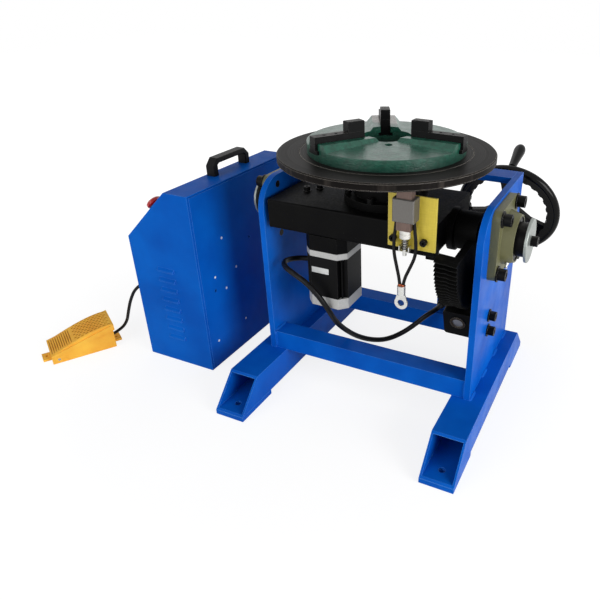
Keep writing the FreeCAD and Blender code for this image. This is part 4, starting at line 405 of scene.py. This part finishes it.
def olive_housing():
    """The bearing castings in olive primer, the steel race showing in the bore."""
    cast = Finish("olive_housing")
    pits = cast.noise(300, 5)
    body = cast.mix(cast.noise(24, 4), hue("4C4C2E"), hue("66653F"))
    body = cast.layer(body, cast.edges(0.0014), 0.6, "A09E78")
    race = cast.span(cast.from_line(TILT_AXIS, "X"), RACE_RADIUS, RACE_RADIUS + 0.0002, 1.0, 0.0)
    body = cast.mix(race, body, hue("5B5A58"))
    return cast.finish(body, cast.over(pits, 0.4, 0.6), pits, 0.0003, round_edges=0.0012)


def moulded(name, dark, light, rough, grain=700, edge=None, depth=0.00006, coat=0.0, specular=0.2):
    """A moulded plastic or phenolic with a fine skin texture; edge, where given, is a lighter colour painted
    along the edges as a highlight.
    """
    plastic = Finish(name, Coat_Weight=coat, Coat_Roughness=0.08, Specular_IOR_Level=specular)
    skin = plastic.noise(grain, 3)
    body = plastic.mix(plastic.span(plastic.noise(20, 3), 0.35, 0.7), hue(dark), hue(light))
    if edge:
        # painted highlight: a lighter colour along the edges
        body = plastic.layer(body, plastic.edges(0.0009), 0.4, edge)
    return plastic.finish(body, plastic.over(skin, rough, rough + 0.12), skin, depth, round_edges=0.0007)


def insulating_plate():
    """Yellow glass laminate: a faint weave across the face and pale sawn edges."""
    plate = Finish("insulating_plate")
    weave = plate.math("ADD", plate.noise(1.0, 2, plate.scaled((900, 200, 60))),
                       plate.noise(1.0, 2, plate.scaled((60, 200, 900))))
    body = plate.mix(plate.span(weave, 0.8, 1.2), hue("CCB536"), hue("D6C040"))
    body = plate.mix(plate.span(plate.noise(22, 5), 0.55, 0.8, 0.0, 0.35), body, hue("8F7C2C"))
    body = plate.layer(body, plate.edges(0.0012), 0.8, "EDE39A")
    return plate.finish(body, plate.span(weave, 0.7, 1.3, 0.4, 0.55), weave, 0.00008, round_edges=0.0004)


def cord_rubber(name, shade):
    """Black cable jacket: a fine crosswise ripple and a little dust."""
    rubber = Finish(name, Specular_IOR_Level=0.15)
    ripple = rubber.noise(650, 2)
    body = rubber.mix(rubber.noise(40, 4), hue(shade), hue("141415"))
    body = rubber.layer(body, rubber.dust(0.3, rubber.noise(120, 4), 0.5, 0.8), 0.25, "5B5B5B")
    return rubber.finish(body, rubber.over(ripple, 0.32, 0.48), ripple, 0.00008)


def graphite_brush():
    """Copper graphite, streaked along the way it wears."""
    brush = Finish("graphite_brush", Metallic=0.4)
    streaks = brush.noise(1.0, 4, brush.scaled((700, 700, 60)))
    body = brush.mix(streaks, hue("4A3B36"), hue("7D675E"))
    body = brush.layer(body, brush.edges(0.0008), 0.5, "A08C82")
    return brush.finish(body, brush.over(streaks, 0.45, 0.6), streaks, 0.00008, round_edges=0.0004)


def floor_finish():
    """A pale floor that shows the object's shadow softly."""
    floor = Finish("pale_floor", Roughness=0.9, Specular_IOR_Level=0.0)
    colour = floor.mix(floor.noise(3, 2), hue("F4F4F4"), hue("FAFAFA"))
    floor.feed(floor.shader.inputs["Base Color"], colour)
    glow = floor.add("Emission", {"Color": (1, 1, 1, 1), "Strength": FLOOR_GLOW}).outputs[0]
    share = floor.span(floor.from_line(FLOOR_MIDDLE, "Z"), FLOOR_NEAR, FLOOR_FAR, FLOOR_GLOW_SHARE, 1.0)
    both = floor.add("MixShader", {0: floor.math("MULTIPLY", seen_directly(floor.tree), share),
                                   1: floor.shader.outputs[0], 2: glow})
    floor.feed(floor.tree.nodes["Material Output"].inputs[0], both.outputs[0])
    return floor.material


# ---- which node wears which finish -------------------------------------------------------------------
def dress_nodes():
    """Gives each solid its finish and returns the finishes by name."""
    frame_blue = blue_paint("frame_blue", "0450B2", "0862C8", 0.3)
    cabinet_blue = blue_paint("cabinet_blue", "0353B4", "0562C6", 0.38)
    screws = black_oxide()
    finishes = {
        frame_blue: ["foot_tubes", "foot_pads", "front_cross_tube", "rear_cross_tube", "side_plate_left",
                     "side_plate_right", "top_bar"],
        cabinet_blue: ["cabinet", "cabinet_cover", "cable_socket_bracket"],
        black_paint("satin_black"):
            ["beam", "trunnions", "spindle_housing", "worm_housing", "motor_adapter"],
        black_paint("gear_black", "050505", 0.5): ["sector_gear"],
        turned_black_steel(): ["turntable"],
        hammer_green(): ["chuck_body"],
        olive_housing(): ["bearing_housings"],
        screws: ["frame_screws", "tilt_head_screws", "handwheel_fasteners", "chuck_screws", "chuck_jaw_1",
                 "chuck_jaw_2", "chuck_jaw_3", "bearing_inner_rings"],
        machined_steel("ground_steel", "8A8A88", "B6B6B2", 0.3): ["spindle", "worm_shaft", "pedal_pin"],
        machined_steel("zinc_disc", "7C827E", "A6ACA8", 0.32, (1, 3, 3), metallic=0.6): ["shaft_discs"],
        machined_steel("cast_aluminium", "A4A4A2", "C4C4C2", 0.42, (2, 2, 2), metallic=0.3):
            ["motor_front_cap", "motor_rear_cap"],
        machined_steel("milled_aluminium", "575552", "74716D", 0.42, (6, 6, 1), metallic=0.5):
            ["brush_holder"],
        machined_steel("bright_plate", "C4C4C0", "E6E6E2", 0.22, metallic=0.8):
            ["brush_clip", "ring_lug", "grease_nipples"],
        machined_steel("bearing_bronze", "2C2620", "4A3E30", 0.4): ["worm_bushes"],
        # the motor's lighter edge colour is a painted highlight on its flutes
        moulded("motor_black", "050506", "0B0B0C", 0.38, 500, "6E6E6C", specular=0.08): ["motor_body"],
        moulded("phenolic_black", "010102", "040405", 0.2, 300, coat=0.22, specular=0.04):
            ["handwheel", "handwheel_grip"],
        moulded("socket_black", "080809", "111112", 0.4, specular=0.12):
            ["cable_sockets", "panel_bushes", "speed_knob", "direction_switch", "carrying_handle",
             "motor_cable_gland"],
        moulded("stop_red", "A80E12", "C8181A", 0.28, coat=0.4): ["emergency_stop"],
        moulded("white_nylon", "D8D6D0", "F0EEE8", 0.4): ["brush_nut"],
        # the pedal's paler edge colour is a painted highlight
        moulded("pedal_yellow", "F4AE40", "FFC84E", 0.42, 420, "FFD27A", 0.00012, specular=0.08):
            ["pedal_base", "pedal_treadle"],
        machined_steel("spring_steel", "1A1A1A", "3A3A3A", 0.3): ["brush_spring"],
        insulating_plate(): ["brush_plate"],
        graphite_brush(): ["ground_brush"],
    }
    for material, names in finishes.items():
        for name in names:
            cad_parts[name].material_slots[0].material = material
    return {material.name: material for material in finishes}


# ---- pieces that only the scene has ------------------------------------------------------------------
def join_rows(form, rows):
    """A closed tube of faces from each row of points to the next."""
    for near, far in zip(rows, rows[1:]):
        for j in range(len(near)):
            after = (j + 1) % len(near)
            form.faces.new((near[j], near[after], far[after], far[j]))


def mesh_piece(name, form, material, body, smooth=True):
    """Makes the form a piece of its own that moves with a body."""
    data = bpy.data.meshes.new(name)
    form.to_mesh(data)
    form.free()
    for face in data.polygons:
        face.use_smooth = smooth
    data.materials.append(material)
    piece = bpy.data.objects.new(name, data)
    bpy.context.scene.collection.objects.link(piece)
    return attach(piece, body)


BEAD_ARC_POINTS = 6             # across the bead's face; one more lies in the corner
BEAD_STEPS = 4                  # rows to each scale of the bead
FOOT_BEAD, TUBE_BEAD = 0.0045, 0.004
STITCH_LENGTH = 0.034
STITCH_SHARES = (0.06, 0.36, 0.66, 0.94)


def add_bead(form, start, end, out_a, out_b, size):
    """A weld bead in the corner between two faces: rippled scales from start to end."""
    start, end = Vector(start), Vector(end)
    out_a, out_b = Vector(out_a) * size, Vector(out_b) * size
    scales = max(3, round((end - start).length / (size * 0.8)))
    steps = scales * BEAD_STEPS
    rows = []
    for k in range(steps + 1):
        share = k / steps
        ripple = 0.82 + 0.18 * abs(math.sin(math.pi * share * scales))
        taper = min(1.0, 6 * share + 0.15, 6 * (1 - share) + 0.15)
        centre = start.lerp(end, share)
        row = []
        for j in range(BEAD_ARC_POINTS):
            angle = math.pi / 2 * j / (BEAD_ARC_POINTS - 1)
            reach = ripple * taper * (0.72 + 0.28 * abs(math.cos(2 * angle)))
            row.append(form.verts.new(centre + (out_a * math.cos(angle) + out_b * math.sin(angle)) * reach))
        row.append(form.verts.new(centre - (out_a + out_b) * 0.15))
        rows.append(row)
    join_rows(form, rows)
    form.faces.new(rows[0][::-1])
    form.faces.new(rows[-1])


def make_welds(material):
    """Stitch welds of the floor frame, painted over."""
    form = bmesh.new()
    plate_low, plate_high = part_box("side_plate_right")
    front_low, front_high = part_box("front_cross_tube")
    rear_low, rear_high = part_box("rear_cross_tube")
    bar_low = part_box("top_bar")[0]
    foot_top = plate_low.z
    half = STITCH_LENGTH / 2
    for side in (-1, 1):
        outer = side * plate_high.x
        inner = side * plate_low.x
        for share in STITCH_SHARES:
            middle = plate_low.y + (plate_high.y - plate_low.y) * share
            add_bead(form, (outer, middle - half, foot_top), (outer, middle + half, foot_top),
                     (side, 0, 0), (0, 0, 1), FOOT_BEAD)
        for low, high in ((front_low, front_high), (rear_low, rear_high)):
            for y, way in ((low.y, -1), (high.y, 1)):
                add_bead(form, (inner, y, low.z + 0.002), (inner, y, high.z - 0.002),
                         (-side, 0, 0), (0, way, 0), TUBE_BEAD)
            add_bead(form, (inner, low.y + 0.002, high.z), (inner, high.y - 0.002, high.z),
                     (-side, 0, 0), (0, 0, 1), TUBE_BEAD)
        add_bead(form, (inner, bar_low.y + 0.003, bar_low.z), (inner, plate_high.y - 0.003, bar_low.z),
                 (-side, 0, 0), (0, 0, -1), TUBE_BEAD)
    bmesh.ops.recalc_face_normals(form, faces=form.faces)
    mesh_piece("frame_welds", form, material, "frame")


def add_slab(form, corner_a, corner_b, bevel):
    """A thin plate between two opposite corners, its edges rounded off."""
    low = Vector([min(a, b) for a, b in zip(corner_a, corner_b)])
    high = Vector([max(a, b) for a, b in zip(corner_a, corner_b)])
    made = bmesh.ops.create_cube(form, size=1.0)["verts"]
    bmesh.ops.transform(form, matrix=Matrix.LocRotScale((low + high) / 2, None, high - low), verts=made)
    edges = list({edge for vert in made for edge in vert.link_edges})
    bmesh.ops.bevel(form, geom=edges, offset=bevel, segments=2, affect="EDGES", profile=0.5)


LABEL_LEFT, LABEL_RIGHT, LABEL_LOW, LABEL_HIGH = 0.20, 0.62, 0.60, 0.74     # shares of the motor's front
LABEL_SUNK, LABEL_PROUD = 0.0003, 0.0005


def make_motor_label(material):
    """The blank rating label on the motor's front face."""
    low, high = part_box("motor_body")
    width, tall = (high.x - low.x), (high.z - low.z)
    form = bmesh.new()
    add_slab(form, (low.x + LABEL_LEFT * width, low.y - LABEL_PROUD, low.z + LABEL_LOW * tall),
             (low.x + LABEL_RIGHT * width, low.y + LABEL_SUNK, low.z + LABEL_HIGH * tall), 0.0002)
    mesh_piece("motor_label", form, material, "tilt_head")


COVER_RIVETS = ((-0.054, 0.288), (-0.090, 0.211), (-0.059, 0.171), (-0.018, 0.205), (-0.006, 0.065),
                (-0.106, 0.061))    # y, z
RIVET_RADIUS = 0.0029
RIVET_SUNK = 0.0006
RIVET_FLATNESS = 0.45


def make_cover_rivets(material):
    """Low round rivets that close the screw holes of the cabinet's cover."""
    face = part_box("cabinet_cover")[1].x
    form = bmesh.new()
    for y, z in COVER_RIVETS:
        head = bmesh.ops.create_uvsphere(form, u_segments=20, v_segments=10, radius=RIVET_RADIUS)["verts"]
        squeeze = Matrix.LocRotScale(Vector((face - RIVET_SUNK, y, z)), None, Vector((RIVET_FLATNESS, 1, 1)))
        bmesh.ops.transform(form, matrix=squeeze, verts=head)
    mesh_piece("cover_rivets", form, material, "frame")


PEDAL_HEEL = Vector((-0.617, -0.155, 0.0))
PEDAL_YAW = math.radians(238.6)
PEDAL_LENGTH, PEDAL_WIDTH = 0.136, 0.076
PEDAL_HEEL_HEIGHT, PEDAL_TOE_HEIGHT = 0.060, 0.022
PEDAL_FRAME = Matrix.Translation(PEDAL_HEEL) @ Matrix.Rotation(PEDAL_YAW, 4, "Z")
TREADLE_CROWN = 0.0075
CROWN_STEPS = 28
CROWN_SIDE_INSET, CROWN_SIDE_DROP = 0.0018, 0.0012
CROWN_SUNK = 0.002              # how far the skin reaches into the solid
DASH_LINES, DASHES = 9, 8
DASH_START, DASH_PITCH = 0.045, 0.071
DASH_LINE_START, DASH_LINE_PITCH = 0.006, 0.008
TREADLE_RIBS = 10
TREADLE_RIB_START, TREADLE_RIB_PITCH = 0.655, 0.035


def treadle_slope(share):
    """Height of the solid treadle, from its heel (0) to its toe (1)."""
    return PEDAL_HEEL_HEIGHT + (PEDAL_TOE_HEIGHT - PEDAL_HEEL_HEIGHT) * share


def treadle_top(share):
    """Height of the crown over it, fullest a little nearer the heel."""
    return treadle_slope(share) + TREADLE_CROWN * math.sin(math.pi * share ** 0.75)


def on_treadle(share, across):
    """A frame on the treadle's top: x along it to the toe, z out of it."""
    step = 0.01
    rise = treadle_top(min(1.0, share + step)) - treadle_top(max(0.0, share - step))
    run = (min(1.0, share + step) - max(0.0, share - step)) * PEDAL_LENGTH
    place = Matrix.Translation((share * PEDAL_LENGTH, -across, treadle_top(share)))
    return PEDAL_FRAME @ place @ Matrix.Rotation(-math.atan2(rise, run), 4, "Y")


def make_treadle_crown(material):
    """The crowned upper skin of the treadle, rounded along its sides."""
    form = bmesh.new()
    rows = []
    for k in range(CROWN_STEPS + 1):
        share = k / CROWN_STEPS
        top, base = treadle_top(share), treadle_slope(share) - CROWN_SUNK
        shoulder = top - CROWN_SIDE_DROP
        section = [(0.0, base), (0.0, shoulder), (CROWN_SIDE_INSET, top),
                   (PEDAL_WIDTH - CROWN_SIDE_INSET, top), (PEDAL_WIDTH, shoulder), (PEDAL_WIDTH, base)]
        rows.append([form.verts.new(PEDAL_FRAME @ Vector((share * PEDAL_LENGTH, -across, z)))
                     for across, z in section])
    join_rows(form, rows)
    form.faces.new(rows[0])
    form.faces.new(rows[-1][::-1])
    bmesh.ops.recalc_face_normals(form, faces=form.faces)
    mesh_piece("treadle_crown", form, material, "treadle", smooth=False)


def make_treadle_marks(material):
    """The staggered grip dashes behind and the cross ribs towards the toe, in a darker amber as painted
    shade.
    """
    form = bmesh.new()
    for line in range(DASH_LINES):
        for k in range(DASHES):
            dash = bmesh.ops.create_uvsphere(form, u_segments=12, v_segments=6, radius=1.0)["verts"]
            shape = Matrix.LocRotScale(None, None, Vector((0.0034, 0.0012, 0.0009)))
            place = on_treadle(DASH_START + (k + 0.5 * (line % 2)) * DASH_PITCH,
                               DASH_LINE_START + line * DASH_LINE_PITCH)
            bmesh.ops.transform(form, matrix=place @ shape, verts=dash)
    for rib in range(TREADLE_RIBS):
        bar = bmesh.ops.create_uvsphere(form, u_segments=12, v_segments=16, radius=1.0)["verts"]
        shape = Matrix.LocRotScale(None, None, Vector((0.0012, PEDAL_WIDTH / 2 - 0.004, 0.0010)))
        place = on_treadle(TREADLE_RIB_START + rib * TREADLE_RIB_PITCH, PEDAL_WIDTH / 2)
        bmesh.ops.transform(form, matrix=place @ shape, verts=bar)
    mesh_piece("treadle_marks", form, material, "treadle")


def make_lead_sleeves(material):
    """Bare copper strands showing where each lead leaves its crimp."""
    form = bmesh.new()
    for side in (-1, 1):
        place = LEAD_END + Vector((side * LEAD_END_OFFSET, 0, 0.0015))
        made = bmesh.ops.create_cone(form, segments=18, radius1=0.0034, radius2=0.0031, depth=0.003,
                                     cap_ends=True)["verts"]
        bmesh.ops.transform(form, matrix=Matrix.Translation(place), verts=made)
    mesh_piece("lead_strands", form, material, "tilt_head")


# ---- floor and light ---------------------------------------------------------------------------------
LAMP_SIZE = 1.4
WORLD_LIGHT, WORLD_SEEN = 0.3, 1.0   # as the object is lit, and as it is seen


def make_floor():
    bpy.ops.mesh.primitive_plane_add(size=12, location=(0, 0, -0.0005))
    floor = bpy.context.object
    floor.name = "floor"
    floor.data.materials.append(floor_finish())


def area_lamp(name, place, power):
    """A soft square lamp that faces the middle of the part."""
    data = bpy.data.lights.new(name, "AREA")
    data.size = LAMP_SIZE
    data.energy = power
    lamp = bpy.data.objects.new(name, data)
    lamp.location = place
    middle = (CAD_BOX[0] + CAD_BOX[1]) / 2
    lamp.rotation_euler = (middle - Vector(place)).to_track_quat("-Z", "Y").to_euler()
    bpy.context.scene.collection.objects.link(lamp)


def make_light():
    """Three lamps and a plain world, which is white where it is seen."""
    area_lamp("sky_panel", (-0.9, 1.3, 1.9), 5)
    area_lamp("front_panel", (-0.9, -2.2, 0.9), 20)
    area_lamp("side_panel", (2.3, -0.7, 0.9), 46)
    world = bpy.data.worlds.new("studio")
    bpy.context.scene.world = world
    world.use_nodes = True
    tree = world.node_tree
    background = tree.nodes["Background"]
    background.inputs["Color"].default_value = (1, 1, 1, 1)
    strength = tree.nodes.new("ShaderNodeMapRange")
    strength.inputs["To Min"].default_value = WORLD_LIGHT
    strength.inputs["To Max"].default_value = WORLD_SEEN
    tree.links.new(seen_directly(tree), strength.inputs["Value"])
    tree.links.new(strength.outputs[0], background.inputs["Strength"])


def main():
    bpy.context.scene.view_settings.view_transform = "Standard"
    make_camera()
    make_cords(cord_rubber("cable_jacket", "0A0A0B"), cord_rubber("lead_jacket", "0C0C0C"))
    materials = dress_nodes()
    make_welds(materials["frame_blue"])
    make_motor_label(moulded("label_silver", "B9BBBA", "D8DAD9", 0.4, 300))
    make_cover_rivets(moulded("rivet_white", "DADCE0", "F2F4F6", 0.35))
    make_treadle_crown(materials["pedal_yellow"])
    # the treadle's grip marks get a darker amber that is painted shade, standing in for the shadow in the
    # dashes
    make_treadle_marks(moulded("grip_painted_shade", "A8691C", "BC7A26", 0.5, 420, specular=0.05))
    make_lead_sleeves(machined_steel("copper_strands", "9C4A2C", "C8714C", 0.35, (600, 600, 40)))
    make_floor()
    make_light()


main()
